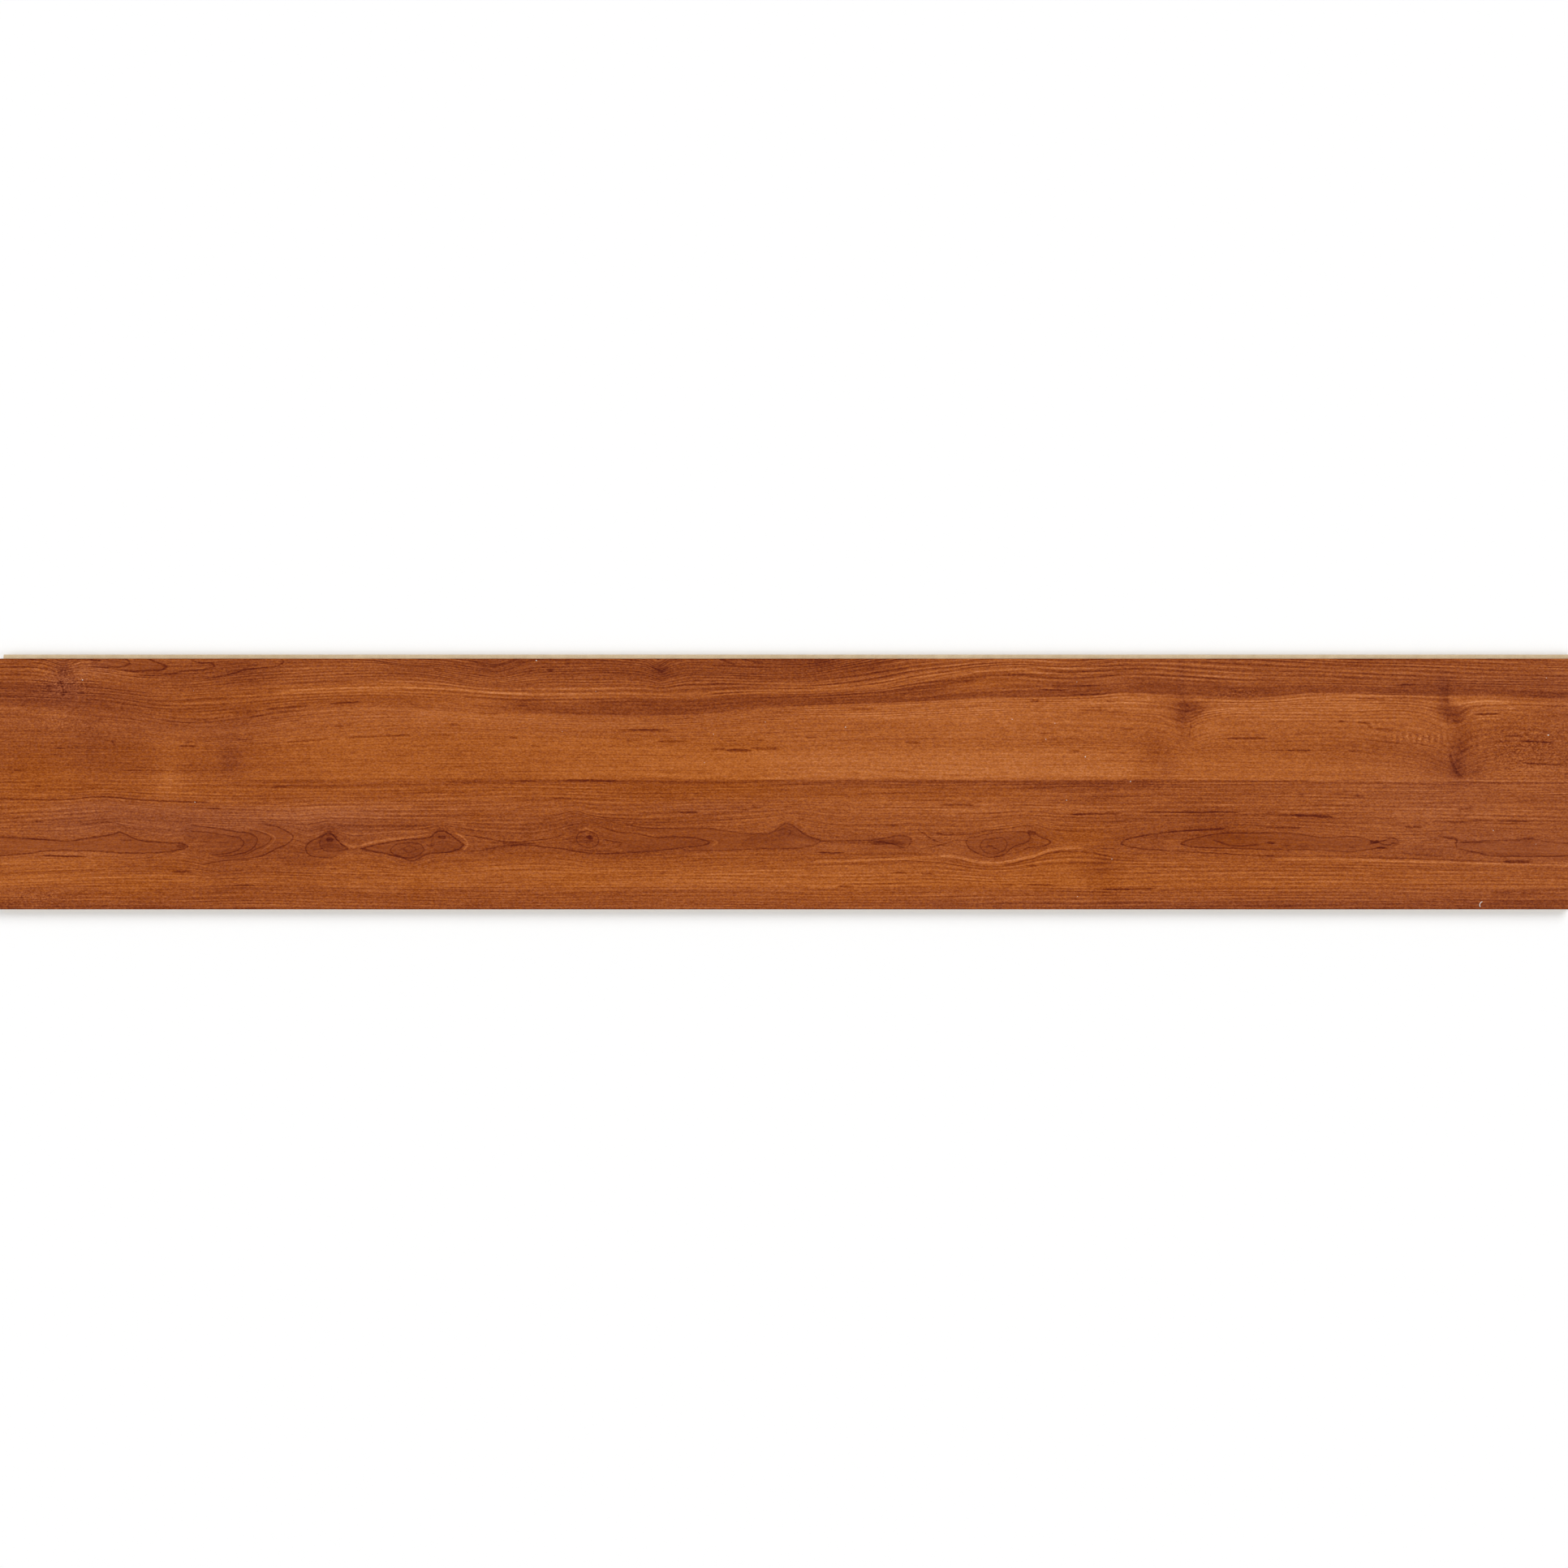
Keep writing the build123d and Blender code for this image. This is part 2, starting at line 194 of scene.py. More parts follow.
# Soft spots of other shade. Each row is the middle, the reach along and across, and the lightness and the
# purple that the spot adds.
BLOTS = (
    # Purple stain and knot at the top left.
    (50, 88, 7, 9, -22, 1.2), (28, 68, 45, 7, -5, 0.6), (66, 88, 10, 6, 8, 0.3), (45, 53, 30, 5, 11, -0.2),
    (70, 27, 14, 24, -7, 0.5), (25, 18, 28, 16, -3, -0.9), (180, 19, 11, 16, -11, 1.1),
    (150, 30, 22, 14, 5, -0.3), (132, 10, 14, 22, 10, -0.2), (52, 75, 16, 24, 1, 1),
    (30, 4, 40, 14, 1, -1.3),
    # Swirl and knots at the top edge.
    (382, 91, 24, 8, -9, 0.4), (512, 88, 9, 6, -20, 0.6), (636, 94, 12, 5, -16, 0.3),
    (600, 95, 30, 4, -6, 0.1), (560, 73, 32, 12, -8, 0), (672, 90, 28, 8, -12, 0),
    (775, 78, 40, 6, 13, -0.8), (365, 62, 45, 7, 8, -0.2), (385, 53, 60, 6, 8, -0.4),
    (775, 54, 50, 6, 11, 0),
    # Two forked knots in the upper strip.
    (920, 58, 16, 8.5, -24, 0.6), (916, 50, 8, 7, -12, 0.4), (914.5, 84, 4, 18, -8, 0.7),
    (926, 66.5, 9, 3.5, 9, -0.2), (915.5, 44, 4, 13, -13, 0.3), (894, 21, 18, 19, -15, 0.1),
    (1118, 60, 7, 11, -17, 0.6), (1127, 53, 11, 8, -22, 0.5), (1117, 77, 6, 12, -11, 0.7),
    (1128, 64.5, 6, 3.2, 14, -0.2), (1150, 63, 20, 5, 5, -0.2), (1135, 37, 9, 12, -8, -0.2),
    (1130, 27, 8, 5, -9, 0.2), (1127, 13, 6, 12, -16, 1.3), (1112, 15, 14, 12, -11, 0.2),
    (1136, 17, 6, 8, 5, 0), (1143, 10, 12, 8, -9, 0.4), (1180, 30, 56, 26, -16, 0.4),
    (1190, 12, 40, 7, 6, 0.3), (1050, 62, 60, 7, 5, -0.1), (990, 51, 60, 8, 6, 0.2),
    (1088, 67, 20, 10, -12, 0.2), (1058, 29, 50, 10, -8, 0), (1150, 78, 90, 9, -7, 0.7),
    (1112, -8, 80, 62, 1, 0.85), (868, 62, 16, 5, 4, 0),
    # Along the top edge, from left to right.
    (30, 96, 30, 4, -9, 0.1), (52, 72, 16, 6, 9, 0), (190, 87, 30, 11, -8, 0.1), (292, 89, 26, 5, 9, -0.1),
    (392, 80, 66, 5, 8, -0.1), (692, 90, 26, 9, -10, 0.1), (650, 80, 24, 4, -8, 0),
    (752, 77, 34, 6, 8, -0.2), (852, 95, 26, 5, -11, 0.1),
    # Under the dark band, from left to right.
    (132, 33, 22, 9, 9, -0.1), (250, 33, 56, 4, 7, -0.1), (332, 27, 26, 5, 6, 0), (652, 60, 28, 5, -9, 0),
    (672, 51, 70, 3, 8, 0), (590, 27, 110, 3.5, -7, 0), (752, 39, 34, 5, 7, 0), (938, 42, 14, 8, 8, 0),
    # Both sides of the joint.
    (132, 1, 18, 9, 8, 0.1), (512, -10, 36, 14, -8, -0.4), (855, -9, 22, 7, -10, 0),
    (1150, 0, 80, 6, 5, 0.2), (172, 1, 20, 3, 8, 0), (212, -10, 20, 5, -8, 0.1),
    # The lower strip.
    (255, -20, 60, 7, 8, 0), (770, -19, 65, 8, 8, 0), (932, -22, 24, 14, -9, 0),
    (1110, -19, 75, 8, 7, 0.2), (300, -34, 62, 5, -8, 0), (52, -54, 48, 6, 8, 0),
    (235, -60, 32, 8, -9, 0.1), (512, -57, 50, 5, -6, -0.2), (852, -65, 15, 9, -9, 0.2),
    (950, -40, 30, 9, -9, -0.7), (178, -77, 18, 9, -7, 0), (815, -56, 60, 30, 0, -0.7),
    (470, -30, 110, 30, 0, -0.7), (1175, -60, 60, 34, 2, 0.5), (255, -44, 16, 9, -11, 0.4),
    (187, -45, 34, 9, -6, 0.3), (457, -43, 14, 8, -9, 0.4), (444, -33, 8, 6, -10, 0.7),
    (612, -38, 14, 6, -1, 0.3), (786, -46, 26, 8, -5, 0.2), (840, -41, 30, 9, 4, -1.1),
    (857, -80, 14, 17, -7, -0.5), (370, -25, 10, 6, -5, -0.9), (325, -79, 12, 13, -5, -0.7),
    (176, -67, 14, 7, -7, 0.3), (148, -36, 9, 8, -6, 0.4), (535, -19, 55, 6, 3, 0.9),
    (30, -88, 32, 7, 3, 0.5), (690, -14, 80, 7, 5, -0.2), (25, -75, 40, 6, 5, -0.2),
    (560, -72, 90, 6, 4, -0.2), (1150, -42, 60, 10, -1, 0.3), (32, -20, 34, 5, 6, 0),
    (312, -33, 70, 6, -6, 0), (1050, -35, 50, 9, 7, 0), (852, -68, 16, 12, -6, 0),
    (672, -60, 34, 8, -6, 0), (1132, -66, 20, 5, -6, 0.1), (72, -68, 70, 6, -5, 0),
    (1032, -89, 30, 7, 7, 0), (192, 84, 28, 14, -9, 0), (12, 88, 14, 9, -8, 0), (752, 77, 30, 7, 9, 0),
    (672, 80, 26, 6, -9, 0), (850, 78, 20, 5, 9, 0), (732, 62, 18, 4, -7, 0), (912, 62, 24, 5, -7, 0),
    (712, 51, 66, 3.5, 6, 0), (932, 24, 90, 7, -6, 0), (512, 39, 70, 3.5, -5, 0),
    (1131, 22, 9, 20, -11, 0.3), (1032, 3, 30, 3, 6, 0), (492, -70, 46, 5, -6, -0.2),
    (632, -78, 66, 4, 6, 0), (1032, -76, 28, 6, 6, 0), (1072, -23, 30, 8, 5, 0), (1172, -20, 22, 6, 8, 0),
    (472, -30, 100, 5, -4, 0), (252, -33, 16, 4, -7, 0), (292, -31, 18, 5, 7, -0.5),
    (828, -34, 30, 5, -7, 0), (772, -35, 18, 6, 6, 0), (52, -53, 24, 4, 6, 0.3), (652, -48, 20, 4, 6, 0),
    (692, -55, 20, 6, -7, 0), (852, -58, 16, 5, -7, 0), (1092, -43, 18, 5, 8, 0), (1032, -53, 30, 4, 6, 0),
    (105, -80, 34, 9, 0, -1), (448, -76, 30, 12, 0, -0.7), (22, -18, 22, 9, 0, -1),
    (132, -66, 16, 9, 0, -0.6), (570, -2, 40, 10, 0, -0.7), (78, 90, 14, 8, 0, 1), (48, 76, 22, 9, -5, 1),
    (970, -48, 50, 10, 0, -0.8), (580, -48, 40, 10, 0, -0.5), (918, 58, 16, 8, -9, 0.2),
    (905, 12, 9, 9, -6, 0.8), (1123, 56, 9, 7, -6, 0.2), (1130, 36, 11, 18, -4, 0), (452, 85, 22, 8, 7, 0),
    (442, 67, 34, 9, 5, 0), (512, 72, 22, 5, -7, 0), (1132, 8, 10, 6, -8, 0), (1170, 82, 20, 5, 5, 0),
    (872, 78, 30, 5, 6, 0), (1052, 95, 18, 3.5, -17, 0), (1092, 95, 30, 4, -8, 0), (692, 70, 20, 5, 6, 0),
    (190, 55, 50, 5, -4, 0), (1110, 24, 40, 8, -5, 0), (12, -45, 20, 8, 3, 0), (1205, -46, 14, 8, 8, 0),
    (412, -55, 60, 5, -4, 0), (692, -18, 16, 5, 6, 0), (1205, -64, 18, 5, -6, 0), (480, -8, 60, 5, -5, 0),
    (92, 20, 20, 20, -4, 0), (1195, 67, 36, 7, -8, 0), (1212, 18, 18, 12, -7, 0), (95, 89, 14, 5, 7, 0),
    (160, 74, 30, 5, -7, 0), (1212, -49, 20, 8, 6, 0), (432, 66, 34, 14, 4, 0), (655, 76, 20, 5, -6, 0),
    (545, 72, 28, 4, -6, 0), (1132, 60, 14, 8, -4, 0), (1132, 14, 17, 16, -6, 0.2),
    (560, 72, 70, 4, -4, 0), (760, 73, 60, 5, 4, 0), (610, 56, 60, 4, -4, 0), (780, 48, 120, 5, 4, 0),
    (130, 56, 110, 6, -3, 0), (470, 46, 60, 5, 4, 0), (620, 33, 60, 6, 3, 0), (770, 8, 70, 7, 4, 0),
    (1000, 7, 50, 6, 3, 0), (430, 8, 40, 7, 4, 0), (930, -11, 70, 6, -4, 0), (460, -50, 70, 7, -4, 0),
    (480, -32, 90, 8, -3, 0), (60, -45, 70, 9, 3, 0), (900, -46, 60, 6, -3, 0), (620, -80, 80, 7, 3, 0),
    (450, -41, 12, 7, -6, 0.2), (612, 51, 15, 4, 6, 0), (530, 51, 15, 4, -6, 0), (408, 95, 16, 3, -8, 0),
    (290, 29, 18, 13, 5, 0), (1190, 65, 26, 5, -6, 0), (690, 82, 14, 4, -6, 0), (732, 87, 14, 4, -6, 0),
    (777, 85, 16, 5, 5, 0), (1134, 84, 18, 6, 6, 0), (1050, 77, 16, 4, -6, 0), (370, -31, 14, 5, -6, 0),
    (218, -30, 22, 5, -5, 0), (832, -35, 26, 5, -4, 0), (1208, -31, 16, 5, -6, 0),
    (1206, -17, 20, 6, 6, 0), (12, -17, 18, 6, 5, 0), (1130, -60, 14, 4, -6, 0), (772, -61, 14, 4, -5, 0),
    (900, -40, 24, 3.5, -6, 0.2), (908, -45, 9, 4, 8, -0.3), (495, -51, 50, 4, -6, 0),
    (870, -43, 20, 5, -6, 0), (1092, 57, 12, 4, -6, 0), (132, 82, 14, 4, -6, 0), (790, 35, 50, 4, 5, 0),
    (950, 40, 30, 4, 4, 0), (292, 61, 16, 5, 6, 0), (812, -63, 14, 5, 6, 0), (1012, 3, 24, 4, 5, 0),
    (12, -58, 16, 6, 6, 0), (1172, -62, 18, 5, -5, 0), (92, -45, 22, 8, 5, 0), (772, -45, 20, 10, 4, 0),
    (620, -44, 24, 8, 5, 0), (1108, -51.5, 24, 4.5, -9, 0.4), (1212, 66, 16, 30, 0, 0.5),
    (1212, 0, 30, 95, 0, 0.6), (148, -38, 4, 9, -9, 0.4),
)


# A printed stroke: half its width, the lightness that it adds in 255ths, points along its middle, and the
# lightness added inside it, where it goes round a figure.
Stroke = namedtuple("Stroke", "width lightness points fill", defaults=(0,))
OUTLINES = (
    # Long pointed figure at the left end, with its filled tip.
    Stroke(0.6, -26, ((-8, -40.8), (0, -41), (20, -41.8), (40, -43.3), (57, -44), (68, -42), (80, -40.5),
        (88, -39), (93, -37.5), (100, -39.5), (105, -42), (110, -43.5), (120, -44.8), (132, -45.5),
        (142, -46), (146.5, -48.3), (143, -50), (130, -52.5), (115, -53.3), (95, -53.3), (80, -52),
        (60, -51.5), (40, -51.5), (20, -54), (-8, -56)), -7),
    Stroke(1.6, -22, ((138, -48), (145, -48.2))),
    Stroke(0.5, -16, ((60, -31.5), (88, -29.8), (98, -32), (115, -34), (142, -36.5))),
    # Four pointed figures inside each other.
    Stroke(0.5, -20, ((148, -36.5), (165, -38), (180, -40.5), (187, -42), (190, -46), (187, -50),
        (180, -53), (160, -55))),
    Stroke(0.6, -24, ((148, -31.8), (170, -34.5), (185, -37), (195, -38.5), (200, -42), (199, -47),
        (195, -51), (185, -54.5), (168, -56.3)), -3),
    Stroke(0.5, -18, ((192, -35), (205, -38), (211, -42), (208, -46), (200, -50), (190, -55),
        (172, -57.5))),
    Stroke(0.6, -24, ((203, -30.5), (215, -33), (222, -36), (228, -41), (224, -46), (215, -50),
        (205, -55), (190, -58), (170, -60), (156, -62.5)), -2),
    Stroke(0.5, 16, ((196, -35.5), (207, -37.5), (214, -42), (209, -48), (200, -52.5))),
    # Knot figure with a dark heart.
    Stroke(0.6, -22, ((270.5, -49.9), (266, -47.2), (262, -43.5), (259, -39.6), (256, -37.9),
        (252, -38.8), (247, -41.5), (242, -44), (239, -46.8), (237.6, -50), (238.5, -53), (241.5, -55.2),
        (247, -56.5), (256, -56.6), (263, -55.6)), -4),
    Stroke(0.5, -16, ((249.5, -41), (248.6, -46), (250, -49.8), (253, -51.6), (260, -52), (267, -51.2),
        (271, -50.1), (266, -47.2), (262, -43.5), (259, -39.6), (256, -38.6), (252, -39.4),
        (249.5, -41)), -4),
    Stroke(0.5, -14, ((268, -50.8), (276, -50.2), (284, -49.9))),
    Stroke(2.0, -22, ((255, -42.8), (258, -43.2))),
    Stroke(0.5, -16, ((250, -36.5), (262, -37), (275, -40), (285, -39.5), (300, -38), (314, -37))),
    Stroke(0.9, 19, ((260, -43.5), (268, -46.5), (277, -48.3), (285, -46), (295, -44), (310, -42),
        (325, -40.5), (335, -38.5))),
    Stroke(0.8, 13, ((262, -36.4), (275, -39), (290, -38.2), (310, -36.8), (332, -36.2))),
    # Double figure beside it.
    Stroke(0.65, -26, ((281, -50), (290, -47.5), (300, -45.5), (310, -43.5), (320, -42.5), (330, -42),
        (335, -40.5), (337, -38), (341, -36.3), (347, -37.5), (352, -41), (356, -44), (360, -47),
        (357, -49.8), (351, -52.3), (343, -53), (335, -53.5), (328, -56), (320, -59.5), (312, -57),
        (300, -54), (289, -52), (281, -50)), -4),
    Stroke(0.5, -19, ((303, -50.5), (306, -47.5), (315, -45.5), (322, -45.5), (328, -48), (329, -51),
        (325, -55), (318, -57.5), (310, -55.5), (304, -53), (303, -50.5)), -5),
    Stroke(0.5, -16, ((312, -50), (318, -48), (323, -50.5), (318, -53), (312, -50))),
    Stroke(1.5, -22, ((341, -41), (345, -41.3))),
    Stroke(0.5, -16, ((330, -46), (334, -48.5), (338, -46))),
    Stroke(0.7, 20, ((352, -37.5), (358, -40.5), (362.5, -45), (362, -49), (357, -52))),
    Stroke(0.5, -8, ((337, -38.5), (341, -36.8), (347, -38), (352, -41.5), (355.5, -44.3), (359, -47),
        (356, -49.6), (350, -52), (342, -52.6), (336, -50), (335, -44), (337, -38.5)), -4),
    # Where two figures meet like a bow tie.
    Stroke(0.6, -22, ((358, -39.2), (370, -41), (380, -42.5), (390, -44.2), (405, -44.6), (415, -43.5),
        (426, -42.3), (433, -40.5), (439, -38))),
    Stroke(0.6, -22, ((372, -51.5), (385, -49), (395, -47.8), (405, -47.3), (415, -48), (430, -49.5),
        (440, -50.8), (450, -52.6), (458, -53.6), (470, -53.8), (486, -53.3))),
    Stroke(0.6, -20, ((466, -41.8), (474, -44.2), (482.8, -45.4))),
    Stroke(0.6, -18, ((482.6, -45.6), (480.5, -47.4), (477.5, -49.6))),
    Stroke(1.2, -16, ((388, -46), (416, -46))),
    # Round knot and the figure that runs out of it.
    Stroke(1.7, -24, ((455.7, -41.2), (457.3, -40.8), (458.3, -42))),
    Stroke(1.5, -12, ((456, -44), (458.5, -43.4))),
    Stroke(0.5, -18, ((449, -37.5), (457, -36.5), (463, -40), (464, -45), (460, -48.8), (453, -48.5),
        (447, -43.5), (449, -37.5))),
    Stroke(0.8, 18, ((448, -36), (455, -34.8), (462, -37.5))),
    Stroke(0.6, -22, ((463, -32), (472, -35), (480, -37.5), (486, -37.8), (500, -39.5), (506, -41),
        (520, -41), (535, -41.5), (543, -42.5), (550, -45.3), (541, -48), (530, -49), (520, -50.5),
        (505, -52), (484, -53.2)), -4),
    Stroke(0.55, -18, ((484, -31), (495, -33.3), (510, -34.2), (530, -34.5), (548, -34.3), (560, -36),
        (575, -38), (590, -38.5), (598, -37.3), (603, -34), (608, -31), (613, -31.5), (618, -34.5),
        (622, -38), (628, -41), (636, -44), (630, -47.5), (620, -49.5), (605, -50), (585, -50.3),
        (560, -51.5), (538, -51.3)), -4),
    Stroke(0.7, 16, ((551, -43), (556, -45), (551, -48))),
    Stroke(0.6, -16, ((601, -37.5), (607, -34.5), (613, -37), (610, -41))),
    Stroke(1.0, -14, ((617, -27.5), (624, -27.2))),
    Stroke(0.5, -6, ((599, -38), (603, -34.6), (608, -31.8), (613, -32.2), (618, -35), (622, -38.5),
        (628, -41.5), (635, -44.2), (629, -47), (619, -48.9), (604, -49.4), (588, -49.4), (575, -47),
        (580, -42), (590, -39.6), (599, -38)), -5),
    # Dark core and tail to its right.
    Stroke(0.4, -8, ((672, -44.6), (684, -41.6), (698, -40.2), (704, -41.4), (705.4, -45), (702, -49),
        (692, -49.6), (682, -48), (672, -44.6)), -7),
    Stroke(0.6, -18, ((634, -44.3), (650, -43.9), (665, -43.8), (676, -44), (684, -45), (692, -46.5),
        (702, -50))),
    Stroke(2.0, -15, ((674, -46), (690, -45), (702, -46.5))),
    Stroke(0.5, -16, ((670, -43.5), (685, -42), (700, -40), (704.5, -41), (706, -44.5), (702, -49.5))),
    Stroke(1.2, -18, ((690, -32), (693, -32.3))),
    Stroke(0.5, -13, ((636, -36), (650, -36.5), (664, -38))),
    Stroke(0.6, -21, ((710, -34.5), (718, -40), (723, -43.2), (733, -46.3))),
    Stroke(0.6, -19, ((714, -49.6), (724, -48.3), (740, -43.6))),
    # Folded figure with a curl inside.
    Stroke(0.5, -20, ((748, -45), (750, -42), (757, -40.5), (765, -39), (775, -37.5), (785, -37),
        (792, -37), (797, -38.5), (798, -42), (795, -45), (788, -47), (783, -50), (778, -54.5),
        (772, -56.3), (765, -56.5), (757, -53.5), (751, -50), (748, -45)), -8),
    Stroke(0.5, -17, ((762, -43), (770, -41.8), (778, -42.5), (780, -46), (778, -51), (770, -54),
        (762, -52), (759, -47.5), (762, -43)), -3),
    Stroke(0.6, -20, ((763, -49), (767, -47.3), (770, -49.5), (774, -50.5))),
    Stroke(2.0, -22, ((797.5, -37.5), (801, -38.5))),
    Stroke(0.6, -22, ((800, -36.5), (805, -40.5), (813.5, -45.5), (811, -47.2), (805, -48.7),
        (797, -49.2), (790, -52))),
    Stroke(0.5, -17, ((727, -39.2), (750, -38.8), (760, -37), (770, -35.6), (785, -33.8), (793, -32),
        (802, -33.2))),
    Stroke(1.3, 21, ((727, -55.5), (745, -57), (757, -60.3), (770, -61.3), (783, -59.8), (795, -57),
        (805, -54.5), (812, -51.3), (820, -50), (840, -49))),
    Stroke(0.6, -20, ((776, -63.5), (790, -60), (800, -57.5), (808, -55), (815, -53.3), (830, -52.3),
        (845, -53), (855, -55.3), (865, -57), (884, -58))),
    # Long pointed figure at the right, open towards the end.
    Stroke(0.6, -24, ((950, -34.3), (935, -35), (920, -36), (905, -37.3), (890, -39.3), (880, -41),
        (872, -43), (868, -45.5), (872, -48), (880, -49.5), (895, -51), (920, -52.5), (950, -54),
        (974, -55.4), (990, -55.6))),
    Stroke(0.6, -13, ((978, -55.6), (1000, -55.8), (1030, -56), (1060, -57), (1090, -57.7),
        (1120, -58.5), (1140, -59.2), (1172, -60))),
    Stroke(0.8, -15, ((918, -36.2), (950, -34.6))),
    Stroke(0.55, -22, ((1083, -46.5), (1082, -43.5), (1076, -42.2), (1070, -44.5), (1063, -44.5),
        (1056, -42), (1048, -40.5), (1030, -41.5), (1020, -41), (1010, -39.5), (985, -37.6), (974, -38),
        (950, -38), (940, -39), (930, -41), (920, -43.5), (914, -46), (920, -48), (930, -49),
        (950, -49.6), (990, -51), (1020, -51), (1050, -52), (1061, -50.5), (1068, -49), (1076, -50.5)),
        -6),
    Stroke(0.75, -22, ((938, -43.5), (945, -45.2), (950, -46.8), (978, -47))),
    Stroke(0.7, -22, ((1058, -47), (1066, -45.3), (1074, -47.2), (1080, -45.4))),
    Stroke(1.15, 17, ((985, -58.4), (1020, -58.6), (1050, -59), (1110, -60), (1150, -61.7),
        (1225, -63.2))),
    Stroke(1.2, 16, ((630, -59.7), (680, -58.6), (715, -56.6), (735, -55.7))),
    Stroke(1.2, -20, ((1061, -45), (1068, -44.6))),
    Stroke(1.1, -22, ((1065, -49.6), (1073, -49.2))),
    Stroke(0.9, -18, ((1077, -45.6), (1084, -46.4))),
    Stroke(0.6, -16, ((1072, -41.4), (1080, -41.8), (1084, -43.4))),
    # Torn figure at the right end.
    Stroke(0.4, -4, ((1129, -45.5), (1150, -44.8), (1190, -44.5), (1225, -46.5), (1225, -54.5),
        (1190, -55.8), (1165, -55.6), (1150, -54.2), (1143, -52.4), (1135, -51), (1128.5, -49.6),
        (1129, -45.5)), -6),
    Stroke(0.9, -26, ((1116, -41.1), (1122, -41.6), (1128, -43.6), (1127, -46), (1128, -50))),
    Stroke(0.9, -13, ((1129, -44.6), (1140, -45), (1151, -44.2))),
    Stroke(0.6, -22, ((1126, -50), (1135, -51.5), (1143, -53), (1150, -55), (1170, -56), (1190, -56.2),
        (1225, -55))),
    Stroke(0.6, -15, ((1128, -44.8), (1140, -44.5), (1150, -44), (1170, -43.4), (1190, -43.2),
        (1200, -45), (1225, -46))),
    # Lines of the lower strip's upper half.
    Stroke(0.8, -20, ((-8, -11), (60, -11.5), (70, -10.5), (85, -10), (100, -11.5), (120, -13),
        (140, -13.5), (164, -14.2))),
    Stroke(0.8, -13, ((1085, -90), (1225, -90.3))),
    Stroke(1.1, -9, ((345, 2.0), (1015, 2.0))),
    Stroke(0.7, 12, ((1010, 2.7), (1225, 2.7))),
    Stroke(0.6, -12, ((1010, 0.9), (1225, 0.9))),
    # Figures at the top edge of the upper strip.
    Stroke(0.7, -20, ((52, 96.8), (65, 96.6), (79, 95.2), (70, 93.6))),
    Stroke(0.75, -23, ((92, 97.5), (101, 95.2), (102, 93.2), (98, 91.3), (86, 90.3), (70, 90.6)), -4),
    Stroke(0.8, -25, ((114, 97.5), (124, 93.5), (130.5, 90.5), (126, 88.3), (118, 87.7), (106, 87.4),
        (92, 88.3)), -5),
    Stroke(0.75, -21, ((148, 96), (158, 93.5), (166, 93), (167, 91.3), (160, 89), (145, 87.3),
        (126, 84.2), (108, 84.6))),
    Stroke(0.6, -20, ((218, 98), (220.5, 94.5), (216, 91.5), (205, 90), (190, 88), (176, 84),
        (158, 81.3))),
    Stroke(0.6, -14, ((191, 92.2), (201, 91.8))),
    Stroke(0.6, -16, ((284, 98), (290, 96), (296, 94.6), (306, 92.5), (322, 91), (342, 92))),
    Stroke(0.6, -17, ((362, 96.5), (372, 93), (383, 91), (396, 94), (404, 97))),
    Stroke(0.6, -14, ((350, 94.5), (362, 91), (376, 88.4), (388, 87.6), (399, 91), (410, 94.6))),
    Stroke(0.9, -18, ((555, 98), (562, 95.2), (571, 92))),
    Stroke(0.9, -18, ((572, 98), (582, 95), (592, 93.8))),
    Stroke(1.0, -14, ((504, 91.5), (509, 89), (514, 86.5))),
    Stroke(1.0, -12, ((519.5, 92), (515.5, 89), (513, 86.5))),
    Stroke(0.6, -13, ((-8, 74.4), (30, 72.2), (50, 70.6), (72, 69.8))),
    Stroke(0.6, -15, ((124, 48.8), (150, 47.6), (170, 48.6), (185, 51), (200, 52.8), (218, 56))),
    # Knot at the top left and the lines that fan out of it.
    Stroke(0.7, -16, ((46.5, 80), (48.5, 77.5), (49.8, 74), (51, 69.5))),
    Stroke(0.7, -15, ((54.5, 90), (58, 93.5), (63, 96.5))),
    Stroke(0.5, 13, ((56, 89.5), (60, 92.3), (65, 94.8))),
    Stroke(0.6, -12, ((57, 88.6), (64, 91.2), (70, 93))),
    Stroke(0.5, 15, ((57.5, 85.5), (70, 85.2), (90, 85.5), (108, 85.2))),
    Stroke(0.6, 14, ((-6, 88.8), (20, 88.4), (34, 87.6), (42, 85.5))),
    Stroke(0.6, -14, ((-6, 90.6), (20, 90.4), (36, 89.6), (46, 86.5))),
    Stroke(0.6, -13, ((-6, 93.4), (20, 93.4), (38, 92.6), (49, 88.5))),
    Stroke(0.6, -12, ((-6, 96), (20, 96), (38, 95.6), (50, 91))),
    # Lines inside and above the dark band.
    Stroke(0.75, 13, ((215, 70.2), (243, 73.3), (285, 74.6), (334, 74.1), (355, 72.7), (383, 70.4),
        (412, 70.4))),
    Stroke(0.6, 6, ((420, 70.4), (470, 70), (500, 69), (535, 67.9), (560, 69.4), (600, 71),
        (640, 72.6))),
    Stroke(0.7, 13, ((646, 72.9), (670, 74.8), (696, 78), (724, 83.6), (756, 87.4), (790, 89.4),
        (830, 89.8), (856, 90.2))),
    Stroke(0.6, 15, ((698, 67.8), (720, 68.5), (733, 70), (745, 71), (760, 72), (780, 73), (800, 73.7),
        (819, 74))),
    Stroke(0.5, -12, ((706, 66.6), (722, 67.2), (735, 68.6), (747, 69.6), (762, 70.6), (781, 71.5),
        (800, 72.2))),
    Stroke(0.6, -14, ((740, 81.5), (765, 83.4), (790, 84.8), (825, 84.5), (866, 84))),
    Stroke(0.6, -14, ((740, 85.2), (770, 86.6), (800, 87.5), (840, 87.2), (875, 87))),
    Stroke(0.6, -13, ((738, 89.6), (770, 90.6), (800, 91), (820, 90.2), (848, 92.4))),
